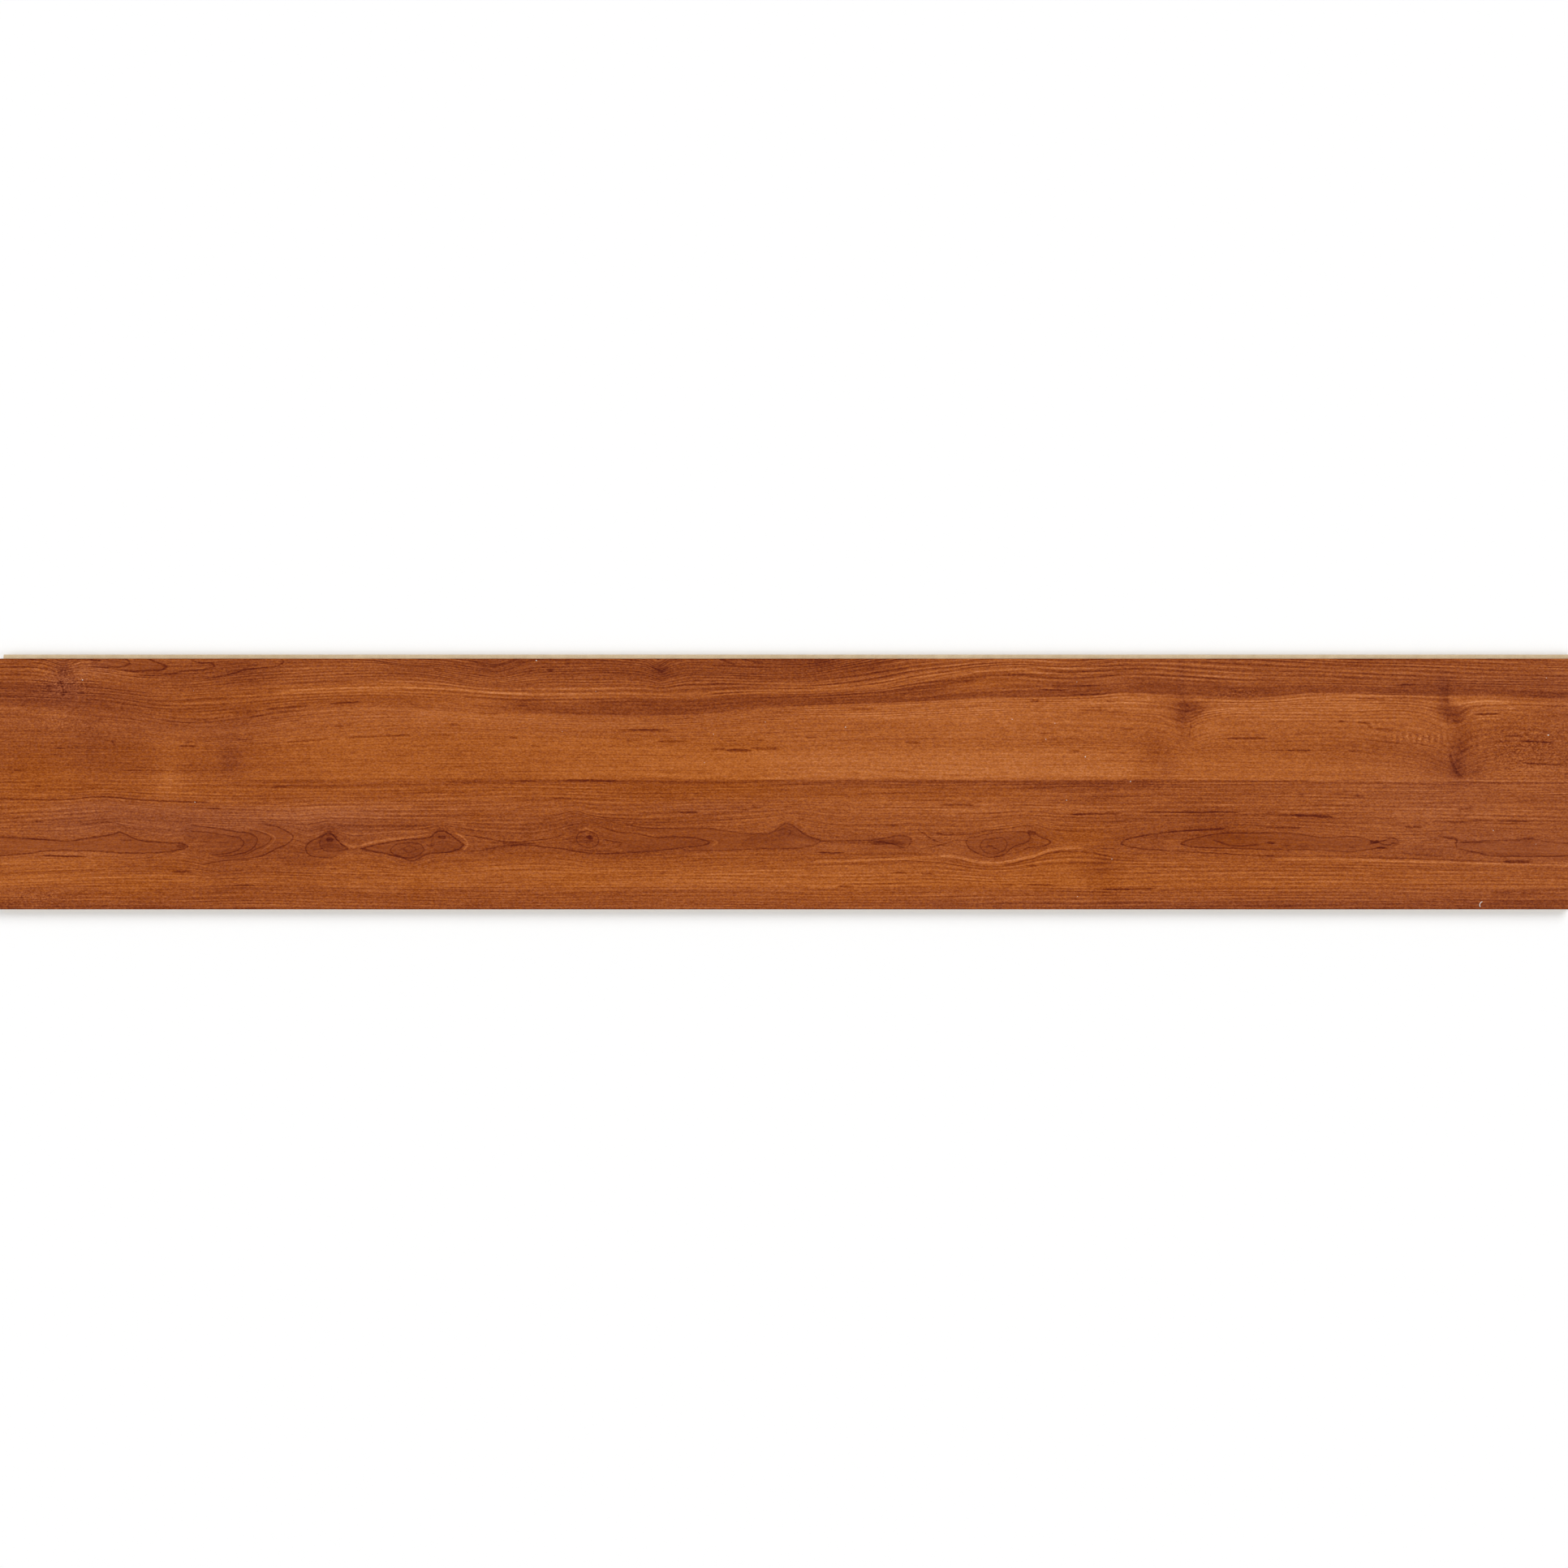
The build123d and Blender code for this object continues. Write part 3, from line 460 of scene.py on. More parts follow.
    # Forked knots.
    Stroke(0.8, -13, ((922.3, 50.5), (921.8, 43), (921, 35.5))),
    Stroke(0.9, -12, ((922, 51), (927, 54), (933, 57.2))),
    Stroke(0.7, -10, ((916.5, 70), (916.8, 65), (918.5, 61.5), (921, 59))),
    Stroke(0.5, 11, ((882, 53.4), (896, 52.6), (903, 50), (907, 46))),
    Stroke(0.5, -10, ((886, 51.6), (896, 50.8), (901, 48.5), (904.5, 45))),
    Stroke(0.5, 12, ((926, 51), (932, 53.4), (942, 55.2), (975, 55.8))),
    Stroke(0.5, 10, ((929, 55), (936, 57), (950, 58), (985, 58.2))),
    Stroke(0.8, -12, ((1120.6, 53), (1121, 44))),
    Stroke(0.9, -14, ((1124, 51), (1128.5, 47.5), (1134, 50))),
    Stroke(0.7, -10, ((1121.4, 80), (1121.3, 62), (1124, 58))),
    Stroke(0.6, 18, ((1131, 53.5), (1136, 56.5), (1146, 58.4), (1175, 58.6))),
    Stroke(0.6, -12, ((1129, 54.5), (1135, 58), (1146, 60.2), (1168, 60.4))),
    Stroke(0.6, 14, ((1138, 48.2), (1146, 50.2), (1165, 50.8))),
    Stroke(0.6, -12, ((1056, 34.4), (1072, 32.6), (1085, 31.4), (1096, 31.2), (1110, 28.2), (1118, 25))),
    Stroke(0.5, 14, ((1092, 30.8), (1104, 28.6), (1116, 26))),
    Stroke(1.5, -13, ((1122, 24.5), (1124, 17), (1126.5, 11), (1130.5, 6), (1134, 4))),
    Stroke(0.5, -8, ((1137, 40), (1139.5, 33), (1137.5, 26))),
    Stroke(0.5, -7, ((1141, 40), (1143.5, 33), (1141.5, 25))),
    Stroke(0.8, -27, ((1050, 47.6), (1056, 47.5), (1061, 46.6))),
    Stroke(1.0, -15, ((1058, 46.8), (1060, 44.8), (1062.5, 43.2))),
    Stroke(1.6, -13, ((1065, 42.8), (1071, 42), (1079, 40.8))),
    Stroke(0.6, 18, ((1126, 59.5), (1131, 62), (1140, 63.4), (1170, 63.8))),
    Stroke(0.6, 17, ((1130, 57), (1134, 59.6), (1144, 61.4), (1172, 61.8))),
    Stroke(0.6, 18, ((1133, 51.5), (1139, 54), (1150, 55.4), (1185, 55.4))),
    Stroke(0.6, -10, ((1135.5, 50), (1142, 52.4), (1152, 53.6), (1180, 53.4))),
)

# Short dark flecks: from and to, along and up, and then half the width and the lightness added.
FLECKS = (
    (32, 68, -55.4, -56.2, 0.6, -42), (27, 34, -1.5, -1.5, 0.7, -18), (27, 34, -28.8, -28.8, 0.6, -18),
    (212, 223, -2.3, -2.3, 0.6, -16), (161, 173, -18.8, -19.2, 0.7, -16),
    (134, 149, -67.6, -67.8, 0.6, -24), (182, 199, -78.2, -78.2, 0.6, -22),
    (94, 104, -43.5, -43.5, 0.5, -16), (154, 163, -44.5, -44.4, 0.5, -14),
    (169, 178, -45.5, -45.3, 0.5, -14), (318, 347, -17.8, -17.6, 0.6, -18),
    (399, 415, -18.7, -18.5, 0.6, -18), (428, 442, -11, -11, 0.6, -14), (400, 442, -12.4, -12.2, 0.5, -9),
    (349, 361, -7, -7, 0.5, -14), (256, 263, -65.8, -65.8, 0.6, -18), (299, 308, -70, -70, 0.6, -16),
    (380, 390, -72, -72, 0.6, -14), (633, 655, -53, -53.2, 0.65, -30), (527, 542, -51.4, -51.6, 0.8, -12),
    (586, 595, -60, -60, 0.6, -14), (526, 542, -22, -22.2, 0.8, -28), (582, 591, -18, -18, 0.6, -18),
    (573, 581, -20, -20, 0.6, -16), (606, 614, -17.5, -17.5, 0.6, -14), (648, 662, -79.2, -79.3, 0.7, -28),
    (724, 731, -38.3, -38.6, 0.8, -26), (691, 702, -68.5, -68.5, 0.6, -18),
    (713, 724, -69.5, -69.5, 0.6, -18), (828, 870, -23.6, -22.5, 0.8, -30),
    (884, 961, -21.6, -21.9, 0.6, -28), (727, 756, -16, -16.2, 0.7, -28), (829, 837, -20, -20, 0.6, -14),
    (853, 895, -81.6, -80.8, 0.7, -28), (853, 864, -50, -50, 0.5, -16), (793, 804, -63, -63, 0.6, -16),
    (793, 817, -78, -78.1, 0.6, -18), (773, 787, -78, -78, 0.5, -15), (978, 1009, -33.7, -34, 0.65, -20),
    (999, 1033, -24.1, -25.6, 0.95, -38), (986, 1002, -24.5, -24.3, 0.7, -20),
    (980, 990, -22, -22, 0.5, -14), (1047, 1057, -9.5, -9.6, 0.7, -22), (1003, 1011, -8.5, -8.5, 0.6, -18),
    (1087, 1101, -33.3, -33.5, 0.8, -28), (1108, 1139, -29, -29.5, 0.6, -16),
    (1135, 1157, -28, -28, 0.7, -20), (1158, 1185, -28.4, -29, 0.8, -24), (1127, 1140, -19, -19, 0.7, -22),
    (1122, 1137, -25, -25, 0.7, -18), (1163, 1187, -60, -60.2, 0.9, -32),
    (1153, 1172, -84, -84.1, 0.6, -20), (1176, 1195, -84.3, -84.3, 0.6, -20),
    (1178, 1189, -42, -42, 0.7, -18), (981, 987, -45.5, -45.5, 1.0, -26),
    (993, 999, -47.5, -47.5, 0.7, -16), (1044, 1050, -49, -49, 0.7, -18),
    (1003, 1013, -48, -48.2, 0.6, -14), (44, 53, 27.8, 27.8, 0.6, -18), (139, 154, 29.3, 29.3, 0.7, -28),
    (144, 151, 32.5, 32.5, 0.6, -18), (184, 197, 34.3, 34.2, 0.6, -16), (180, 205, 54.5, 57, 0.8, -12),
    (205, 240, 57.6, 60.6, 0.9, -18), (212, 240, 55.4, 57.1, 0.6, -14), (82, 91, 34, 33, 0.5, -14),
    (88, 91, 33.5, 28, 0.5, -12), (11, 22, 10.5, 10.5, 0.6, -16), (98, 112, 10.5, 10.5, 0.6, -14),
    (-5, 5, 36, 36, 0.7, -18), (188, 217, 31.4, 31.7, 0.5, -12), (220, 257, 32.3, 35, 0.65, -18),
    (270, 320, 35.8, 38, 0.65, -25), (334, 352, 38, 38, 0.6, -14), (255, 280, 61.9, 63.6, 0.65, -22),
    (285, 294, 60.5, 60.6, 0.6, -14), (318, 327, 61, 61, 0.6, -14), (258, 267, 44.8, 45, 0.8, -20),
    (348, 356, 46, 46.1, 1.0, -24), (298, 306, 28.5, 28.5, 0.6, -15), (318, 333, 29, 29, 0.7, -18),
    (307, 315, 22, 22, 0.5, -12), (368, 390, 54.8, 54.1, 0.7, -18), (411, 420, 29.3, 29.3, 0.6, -14),
    (394, 402, 35.7, 35.7, 0.8, -18), (407, 415, 77, 77, 0.6, -16), (399, 410, 60.5, 60.4, 0.6, -15),
    (423, 430, 88.2, 87.8, 1.2, -24), (436, 480, 2.8, 2.6, 0.8, -22), (398, 417, 2.3, 2.3, 0.6, -14),
    (478, 521, 41.7, 41.4, 1.0, -15), (486, 512, 41.9, 41.6, 0.6, -18), (484, 495, 33.5, 33.5, 0.6, -20),
    (508, 534, 33, 32.8, 0.65, -26), (559, 572, 33.5, 33.5, 0.6, -16), (578, 594, 34, 33.8, 0.6, -18),
    (551, 564, 27, 26.8, 0.8, -22), (562, 584, 26.2, 25.8, 1.1, -30), (581, 604, 27.4, 27.6, 0.9, -24),
    (624, 633, 36, 36, 0.7, -20), (598, 616, 55.6, 55.4, 0.7, -16), (658, 678, 57.8, 58.2, 0.7, -20),
    (701, 713, 32.2, 31.8, 0.8, -24), (729, 755, 78.6, 80.8, 0.75, -21), (815, 824, 76, 76, 0.6, -14),
    (828, 853, 75.8, 76.3, 0.55, -18), (806, 828, 72.8, 72.5, 0.65, -26), (830, 858, 69.2, 69.6, 0.5, -20),
    (834, 858, 57.1, 56.8, 0.6, -24), (842, 858, 59.2, 59.2, 0.5, -14), (855, 870, 56, 56, 0.6, -15),
    (798, 805, 64.5, 64.5, 0.9, -22), (856, 864, 63.5, 63.4, 0.7, -20), (761, 772, 48.5, 48.4, 0.5, -12),
    (805, 817, 39.2, 39, 0.6, -18), (808, 822, 34.5, 34.3, 0.6, -16), (823, 837, 35, 34.8, 0.6, -14),
    (828, 837, 25.5, 25.4, 0.7, -20), (868, 879, 42, 41.8, 0.6, -18), (895, 905, 40, 39.8, 0.5, -14),
    (948, 983, 35.2, 35.4, 0.8, -26), (1048, 1074, 66.1, 65.4, 0.55, -32),
    (1035, 1041, 48.5, 48.6, 0.8, -20), (996, 1016, 26.1, 25.9, 0.8, -24), (983, 1000, 26, 26, 0.5, -14),
    (1043, 1054, 25.5, 25.4, 0.6, -16), (1140, 1160, 54, 54.3, 0.8, -28), (1164, 1180, 37, 36.8, 0.5, -16),
    (1178, 1202, 33.1, 32, 0.55, -30), (1178, 1212, 16.2, 14.4, 0.55, -28), (1193, 1207, 60, 60, 0.6, -12),
    (1083, 1097, 77, 77, 0.7, -22), (1113, 1122, 73.5, 73.5, 0.8, -12), (37, 41, 75.5, 75.5, 1.0, -20),
    (45, 51, 79, 79, 1.0, -22), (48, 53, 69, 69, 0.9, -20),
)

# Pale lines printed in the grain: as the flecks.
GLINTS = (
    (1138, 1162, 52.4, 52.6, 0.5, 16), (255, 345, 74.6, 73.4, 0.7, 10), (470, 560, 70.4, 68.2, 0.6, 5),
    (520, 590, 72.2, 71.6, 0.6, 9), (-6, 48, 59.5, 57, 1.0, 7), (640, 700, 75.2, 81.5, 0.7, 10),
)

# Where lines are strong or weak: ends, grain levels, soft edges, and in 255ths the strength of the growth
# rings, of the hair lines between them, and of the fine and the broad streaks.
Zone = namedtuple("Zone", "ends levels soft rings hairs fine broad")
LINE_ZONES = (
    Zone((-40, 1260), (3.4, 45), (60, 3), 3.8, 3.5, 3.5, 1.5),
    Zone((-40, 1260), (45, 57), (60, 2), 5.0, 4.0, 4.5, 2.5),
    Zone((925, 1120), (42, 57), (20, 3), 4.0, 14.0, 4.0, 2.5),
    Zone((600, 890), (45, 58), (20, 2), 5.0, 12.0, 4.5, 2.5),
    Zone((200, 610), (43.5, 53.5), (30, 2), 4.0, 9.0, 4.5, 2.5),
    Zone((200, 640), (64, 125), (60, 3), 14.0, 3.0, 6.0, 2.5),
    Zone((640, 1260), (64, 125), (60, 3), 15.0, 8.0, 6.0, 2.5),
    Zone((-40, 200), (60, 125), (60, 3), 8.0, 8.0, 6.0, 2.5),
    Zone((-40, 1260), (-34, 3.4), (60, 2), 8.0, 4.0, 5.5, 2.0),
    Zone((-40, 620), (-99, -58), (60, 3), 6.5, 6.0, 5.0, 2.0),
    Zone((600, 1260), (-99, -58), (60, 3), 10.0, 4.5, 5.0, 2.0),
)
PLAIN_LINES = Zone(None, None, None, 3.0, 1.5, 5.0, 3.0)
LINE_KINDS = ("rings", "hairs", "fine", "broad")

# Spots of curly wood with ripples across the grain, which also carry the painted glints on the ripples. Each
# row is the middle, the reach along and across, and the strength in 255ths.
CURLS_AND_GLINTS = (
    (52, 78, 32, 17, 21), (48, 48, 38, 16, 13), (30, 50, 44, 12, 7), (75, 38, 12, 7, 6),
    (40, 20, 45, 18, 4), (150, 10, 34, 14, 5), (480, 22, 60, 12, 3), (830, 36, 34, 14, 5),
    (893, 30, 30, 18, 6), (985, 45, 40, 8, 7), (957, 70, 24, 4, 20), (1096, 35, 26, 6, 12),
    (1180, 28, 54, 32, 18), (28, -88, 40, 10, 15),
)
# Upright bars in the curly wood beside the second forked knot, and the distance between them.
BARS = ((1101, 35.7, 26, 3.2, 21),)
BAR_PERIOD = 4.856

# Pale dust on the face: along, up and size against a common crumb.
CRUMBS = (
    (65, 80.5, 0.9), (151, 72, 0.6), (152, -14, 0.7), (416, 95.5, 0.9), (436, 40.5, 0.6), (462, 71.5, 0.5),
    (553, 38.5, 0.8), (593, 48, 0.5), (546, 16.5, 0.6), (655, 44, 0.8), (784, 50, 0.8), (810, 34.5, 0.7),
    (817, 47, 0.5), (834, 79, 0.6), (840.5, 21, 0.9), (826, -12.5, 0.8), (875.5, 2, 1.1), (861, -58, 0.8),
    (834.5, -87, 0.7), (1156, -36, 0.8), (1189, -46.5, 0.6), (1197, 82, 0.6), (1198.5, 37.8, 1.2),
)
FIBRE = ((1147.5, -91.0), (1146.4, -91.5), (1145.6, -92.6), (1145.4, -93.9), (1146.0, -95.0))

# Lightness in 255ths at which the print has each colour of the plank's settings.
PRINT_TONES = (
    ("darkest_line", 40),
    ("dark_line", 60),
    ("heartwood", 80),
    ("wood", 100),
    ("pale_wood", 120),
    ("palest_line", 160),
)
MEAN_LIGHTNESS = 97.5
# Purple of the print: its mean, how far it reaches to both sides, how much it changes from spot to spot, and
# what 1 of it adds to red, green and blue in 255ths.
MEAN_HUE = -0.35
HUE_RANGE = 2.0
HUE_SPECKLE = 1.0
PURPLE_SHIFT = (-2.0, 0.0, 5.0)
# Light that the gloss of the wear layer adds to every colour of the print, and the least that stays below it.
GLOSS_VEIL = 0.0055
LEAST_COLOUR = 0.001
# Painted shade along the rim of the long edges: its width in millimetres and the lightness that it adds.
PAINTED_RIM_WIDTH = 1.4
PAINTED_RIM_SHADE = -14

# Streaks along the grain: length and period in millimetres, and seed.
STREAKS = {
    "threads": (95.0, 1.1, 1.3),
    "fine": (19.0, 1.2, 3.1),
    "broad": (30.0, 2.8, 7.7),
    "slow": (90.0, 6.0, 13.3),
    "chips": (6.5, 1.3, 17.2),
    "pores": (4.5, 0.75, 21.9),
}
# Even lines along the grain: period in millimetres, and seed.
RING_LINES = {"rings": (2.75, 40.0), "hairs": (1.65, 71.0)}
# Spots that don't follow the grain: size along and across the plank in millimetres, and seed.
SPOTS = {
    "speckle": (1.4, 0.85, 4.4),
    "grit": (2.7, 1.3, 9.2),
    # Painted glints: pale points that stand in for the sparkle of the gloss on curly wood.
    "crests": (0.9, 0.75, 44.0),
    "wander": (5.0, 3.0, 1.7),
    "gaps": (2.2, 1.2, 15.5),
    "hue": (2.6, 1.7, 31.0),
}
# What each mark adds to the fine lines, the speckle, the roughness and the pressed height.
FINE_SHARES = {"threads": 1.0, "fine": 0.6}
SPECKLE_SHARES = {"speckle": 1.0, "grit": 0.22, "chips": 0.3}
ROUGHNESS_SHARES = {"fine": 0.02, "grit": 0.015}
PRESSED_SHARES = {"threads": 0.3, "fine": 0.3, "broad": 0.2, "pits": 0.6, "speckle": 0.12}
# A pit is where the noise of the pores is below this.
PIT_LEVEL = -1.0

# Growth rings: size of their drift and of their swelling along and across in millimetres, how far they drift
# in periods, how much they swell, and their strength.
RING_DRIFT_SIZE = (170.0, 15.0)
RING_SWELL_SIZE = (90.0, 5.0)
RING_DRIFT = 0.5
RING_SWELL = 0.5
RING_STRENGTH = 0.9
LEAST_RING_STRENGTH = 0.1
SWELL_SEED_STEP = 12.0

# Ripples of curly wood: how far they lean, their size in millimetres, their seed and their share. Then the
# level and the share of the painted glints, pale points between the ripples that stand in for the sparkle of
# the gloss, and how much the ripples disturb the upright bars.
RIPPLE_LEAN = (0.5, 0.3)
RIPPLE_SIZE = (1.7, 1.2)
RIPPLE_SEED = 27.3
RIPPLE_SHARE = 0.8
PAINTED_GLINT_LEVEL = 1.1
PAINTED_GLINT_SHARE = 5.0
BAR_RIPPLE = 0.3

# Noise comes as 0 to 1 and mostly near the middle. This spreads it to about 1 on both sides of 0.
NOISE_SPREAD = 7.0
# Detail of the noise of fibres and paper, whose common value is 1.
FINE_DETAIL = 3.0

# Printed strokes: how far they wander and their soft edge in millimetres, how much they are broken up, and
# what their lightness and widths are multiplied by.
STROKE_WANDER = 0.16
STROKE_SOFT = 0.55
STROKE_GAPS = 0.15
INK_GAIN = 1.3
FLECK_GAIN = 1.02
OUTLINE_WIDTH = 0.86
# Ends of a stroke: it tapers over this length in millimetres, or over one of so many equal parts of it if that
# is shorter. Then how fast its lightness rises there, its width at the tip as a share of the full one, and the
# length below which it is a round dot.
TAPER = 6.0
TAPER_PARTS = 5
TAPER_RISE = 2
TIP_WIDTH = 0.5
DOT_LENGTH = 4.5

# How strokes are stored on the mesh, in millimetres. Strokes on the same ink keep clear of each other.
INKS = 7
CLEAR_OF_OTHERS = 7.5
STROKE_STEP = 1.2
STROKE_REACH = 3.0
STROKE_FADE = 1.4
STROKE_GUARD = 3.0
# Ink where no stroke is near: distance, lightness and half width.
NO_STROKE = (9.0, 0.0, 0.5)

# Filled figures: soft edge in millimetres, purple for each 255th of shade, and how calm the grain is in them.
FILL_SOFT = 1.4
FILL_PURPLE = 0.03
CALM = 0.35

# How fast a spot falls off, and the least height between two grain lines in millimetres.
BLOT_FALL = 1.5
LEAST_GAP = 0.001

# Finish of the printed face and of the raw board.
WEAR_LAYER_IOR = 1.42
BOARD_IOR = 1.35
FACE_PRESS = 1.0
BOARD_ROUGHNESS = 0.8
# Marks on the board: their size in millimetres and what they add to the tone, whose mean is 0.5.
BOARD_FIBRE = 0.5
CLUMP_SIZE = (9.0, 9.0, 1.4)
MILL_SIZE = (60.0, 60.0, 0.35)
BOARD_SHARES = {"fibres": 0.16, "clumps": 0.10, "mills": 0.06}
MEAN_TONE = 0.5
BOARD_PRESS = 0.6
BOARD_PRESS_DEPTH = 0.08 * MM
# Layers at the top and the bottom of the board's sides, in millimetres.
WEAR_LAYER = 0.22
BACKING_LAYER = 0.18
LAYER_SOFT = 0.05

# Backing paper.
PAPER_ROUGHNESS = 0.62
PAPER_FIBRE = 0.9
PAPER_CLOUD_SIZE = (35.0, 18.0)
PAPER_CLOUD_SEED = 2.0
PAPER_SHARES = {"fibres": 0.12, "clouds": 0.12}
PAPER_PRESS = 0.4
PAPER_PRESS_DEPTH = 0.05 * MM

# Dust: finish, size of its shades in millimetres, their share and the mean tone, and the least and greatest
# size of a crumb against a common one.
DUST_ROUGHNESS = 0.9
DUST_SHADE_SIZE = (0.3, 0.3, 0.3)
DUST_SHARES = {"shades": 0.15}
DUST_TONE = 0.6
CRUMB_SIZES = ((0.8, 0.7, 0.3), (1.5, 1.1, 0.3))
CRUMB_ROUNDNESS = 2
FIBRE_SIDES = 6

# Plank, with the width of its face in millimetres and else in metres.
FACE_WIDTH = 194.0
GROOVE_DEPTH = 3.6 * MM
TONGUE_MIDDLE = 4.4 * MM
# Steps down the rounded edge, the distance below which points are one, and the angle above which an edge is
# sharp.
EDGE_STEPS = 4
MERGE = 0.002 * MM
SHARP_ANGLE = radians(35)
# Pores pressed into the mesh: how deep, and how fast they reach their depth.
RELIEF = 0.03 * MM
PORE_STEEPNESS = 0.5
# Normals that come with the solid and don't fit the new grid.
IMPORTED_NORMALS = "custom_normal"

# Bake map: where each side lies between the bottom, 0, and the top, 1, and which material it has.
BAKE_MAP = "OFBake"
STRIPS = {
    "left": (0.002, 0.325),
    "right": (0.332, 0.655),
    "underside": (0.662, 0.79),
    "long_tongue": (0.797, 0.864),
    "long_groove": (0.871, 0.938),
    "end_tongue": (0.945, 0.969),
    "end_groove": (0.975, 0.998),
}
PRINTED, MILLED, PAPER = range(3)
MATERIALS = {"left": PRINTED, "right": PRINTED, "underside": PAPER}
# A milled side is laid out by its height, and its ledges by their depth times this. It fits into this length.
UNFOLD_SLANT = 1.5
UNFOLD_REACH = 20 * MM

# Stage. The picture leaves out a little of both ends, in millimetres.
VIEW_MARGIN = 1.25
VIEW_WIDTH = (FACE_LENGTH - 2 * VIEW_MARGIN) * MM
FAR_CLIP = 100.0
WHITE = (1.0, 1.0, 1.0, 1.0)
FLOOR_ROUGHNESS = 1.0
FLOOR_IOR = 1.45
FLOOR_SHADE = 0.94
FLOOR_GLOW = 0.06
# Each sun: name, turn and tilt from straight down in degrees, strength and spread in degrees.
SUNS = (
    ("key_sun", 60, 46, 1.55, 40),
    ("fill_sun", 200, 52, 0.75, 50),
    ("back_sun", 320, 50, 0.55, 50),
)

# Kinds of node socket.
FLOAT = "NodeSocketFloat"
INTEGER = "NodeSocketInt"
VECTOR = "NodeSocketVector"
GEOMETRY = "NodeSocketGeometry"


# Print: where the grain runs, how light it is and which strokes lie on it.

def smooth_line(points, x):
    """Height at x of a smooth line through points, each (x, height)."""
    px, py = np.array(points, float).T
    slope = np.gradient(py, px)
    k = np.clip(np.searchsorted(px, x) - 1, 0, len(px) - 2)
    span = px[k + 1] - px[k]
    t = np.clip((x - px[k]) / span, 0, 1)
    near = (1 - t) ** 2 * ((1 + 2 * t) * py[k] + t * span * slope[k])
    return near + t ** 2 * ((3 - 2 * t) * py[k + 1] + (t - 1) * span * slope[k + 1])


def grain_flow(x, y):
    """The grain line through each point, as the height that the line has where it runs straight."""
    flow = np.empty_like(x)
    for grain, strip in ((UPPER_GRAIN, y >= JOINT), (LOWER_GRAIN, y < JOINT)):
        levels = np.array([level for level, points in grain], float)
        heights = np.stack([smooth_line(points, x[strip]) for level, points in grain])
        heights = np.maximum.accumulate(heights + LEAST_GAP * np.arange(len(grain))[:, None], axis=0)
        k = np.clip((heights <= y[strip]).sum(axis=0) - 1, 0, len(grain) - 2)
        point = np.arange(len(k))
        low, high = heights[k, point], heights[k + 1, point]
        share = (y[strip] - low) / (high - low)
        flow[strip] = levels[k] + share * (levels[k + 1] - levels[k])
    return flow


def window(value, ends, soft):
    """1 between two ends and 0 outside them, with soft flanks."""
    rise = np.clip((value - ends[0]) / soft + 0.5, 0, 1)
    fall = np.clip((ends[1] - value) / soft + 0.5, 0, 1)
    return rise * rise * (3 - 2 * rise) * fall * fall * (3 - 2 * fall)


def spot(x, y, middle, reach):
    """1 at the middle of a spot, falling off softly over its reach along and across."""
    across = (x - middle[0]) / reach[0]
    up = (y - middle[1]) / reach[1]
    return np.exp(-BLOT_FALL * (across ** 2 + up ** 2))


def shade(x, y, flow):
    """Lightness and purple of the print at each point, without its lines, and with the painted shade along the
    rim.
    """
    lightness = np.zeros_like(x)
    purple = np.zeros_like(x)
    for band in BANDS:
        share = window(x, band.ends, 2 * band.soft[0]) * window(flow, band.levels, 2 * band.soft[1])
        lightness += band.lightness * share
        purple += band.purple * share
    for *place, lightness_added, purple_added in BLOTS:
        share = spot(x, y, place[:2], place[2:])
        lightness += lightness_added * share
        purple += purple_added * share
    # Painted shade: darkens the print towards the long edges and over the rounded rim.
    lightness += PAINTED_RIM_SHADE * np.clip((np.abs(y) - FACE_WIDTH / 2) / PAINTED_RIM_WIDTH + 1, 0, 1)
    return lightness, purple


def curl_strength(x, y, curls):
    """How strong the ripples of curly wood, with their painted glints, are at each point."""
    strength = np.zeros_like(x)
    for *place, most in curls:
        strength = np.maximum(strength, most * spot(x, y, place[:2], place[2:]))
    return strength


def line_strength(x, flow):
    """How strong each kind of grain line is at each point."""
    strength = {kind: np.full_like(x, getattr(PLAIN_LINES, kind)) for kind in LINE_KINDS}
    for zone in LINE_ZONES:
        share = window(x, zone.ends, 2 * zone.soft[0]) * window(flow, zone.levels, 2 * zone.soft[1])
        for kind, field in strength.items():
            field += (getattr(zone, kind) - field) * share
    return strength


def all_strokes():
    """Outlines, flecks and glints of the print as strokes."""
    strokes = [stroke._replace(width=stroke.width * OUTLINE_WIDTH) for stroke in OUTLINES]
    for start, end, low, high, width, lightness in FLECKS + GLINTS:
        middle = ((start + end) / 2, (low + high) / 2)
        strokes.append(Stroke(width, lightness * FLECK_GAIN, ((start, low), middle, (end, high))))
    return strokes


def stroke_path(stroke):
    """Points along the middle of a stroke, closely spaced on one smooth line."""
    px, py = np.array(stroke.points, float).T
    along = np.concatenate([[0], np.cumsum(np.hypot(np.diff(px), np.diff(py)))])
    t = np.linspace(0, along[-1], int(along[-1] / STROKE_STEP) + 2)
    return np.stack([smooth_line(list(zip(along, p)), t) for p in (px, py)], axis=1)


def between(path, other):
    """Shortest way from one stroke's path to another's, or a large number if they are far apart."""
    apart = np.maximum(path.min(axis=0) - other.max(axis=0), other.min(axis=0) - path.max(axis=0))
    if apart.max() > CLEAR_OF_OTHERS:
        return apart.max()
    return np.sqrt(((path[:, None] - other[None]) ** 2).sum(axis=2)).min()


def share_out(paths):
    """For each stroke, the first ink on which no other stroke runs close to it."""
    inks = [[] for ink in range(INKS)]
    for n, path in enumerate(paths):
        gaps = [min([between(path, paths[m]) for m in ink], default=np.inf) for ink in inks]
        clear = [k for k, gap in enumerate(gaps) if gap > CLEAR_OF_OTHERS]
        inks[clear[0] if clear else int(np.argmax(gaps))].append(n)
    return inks


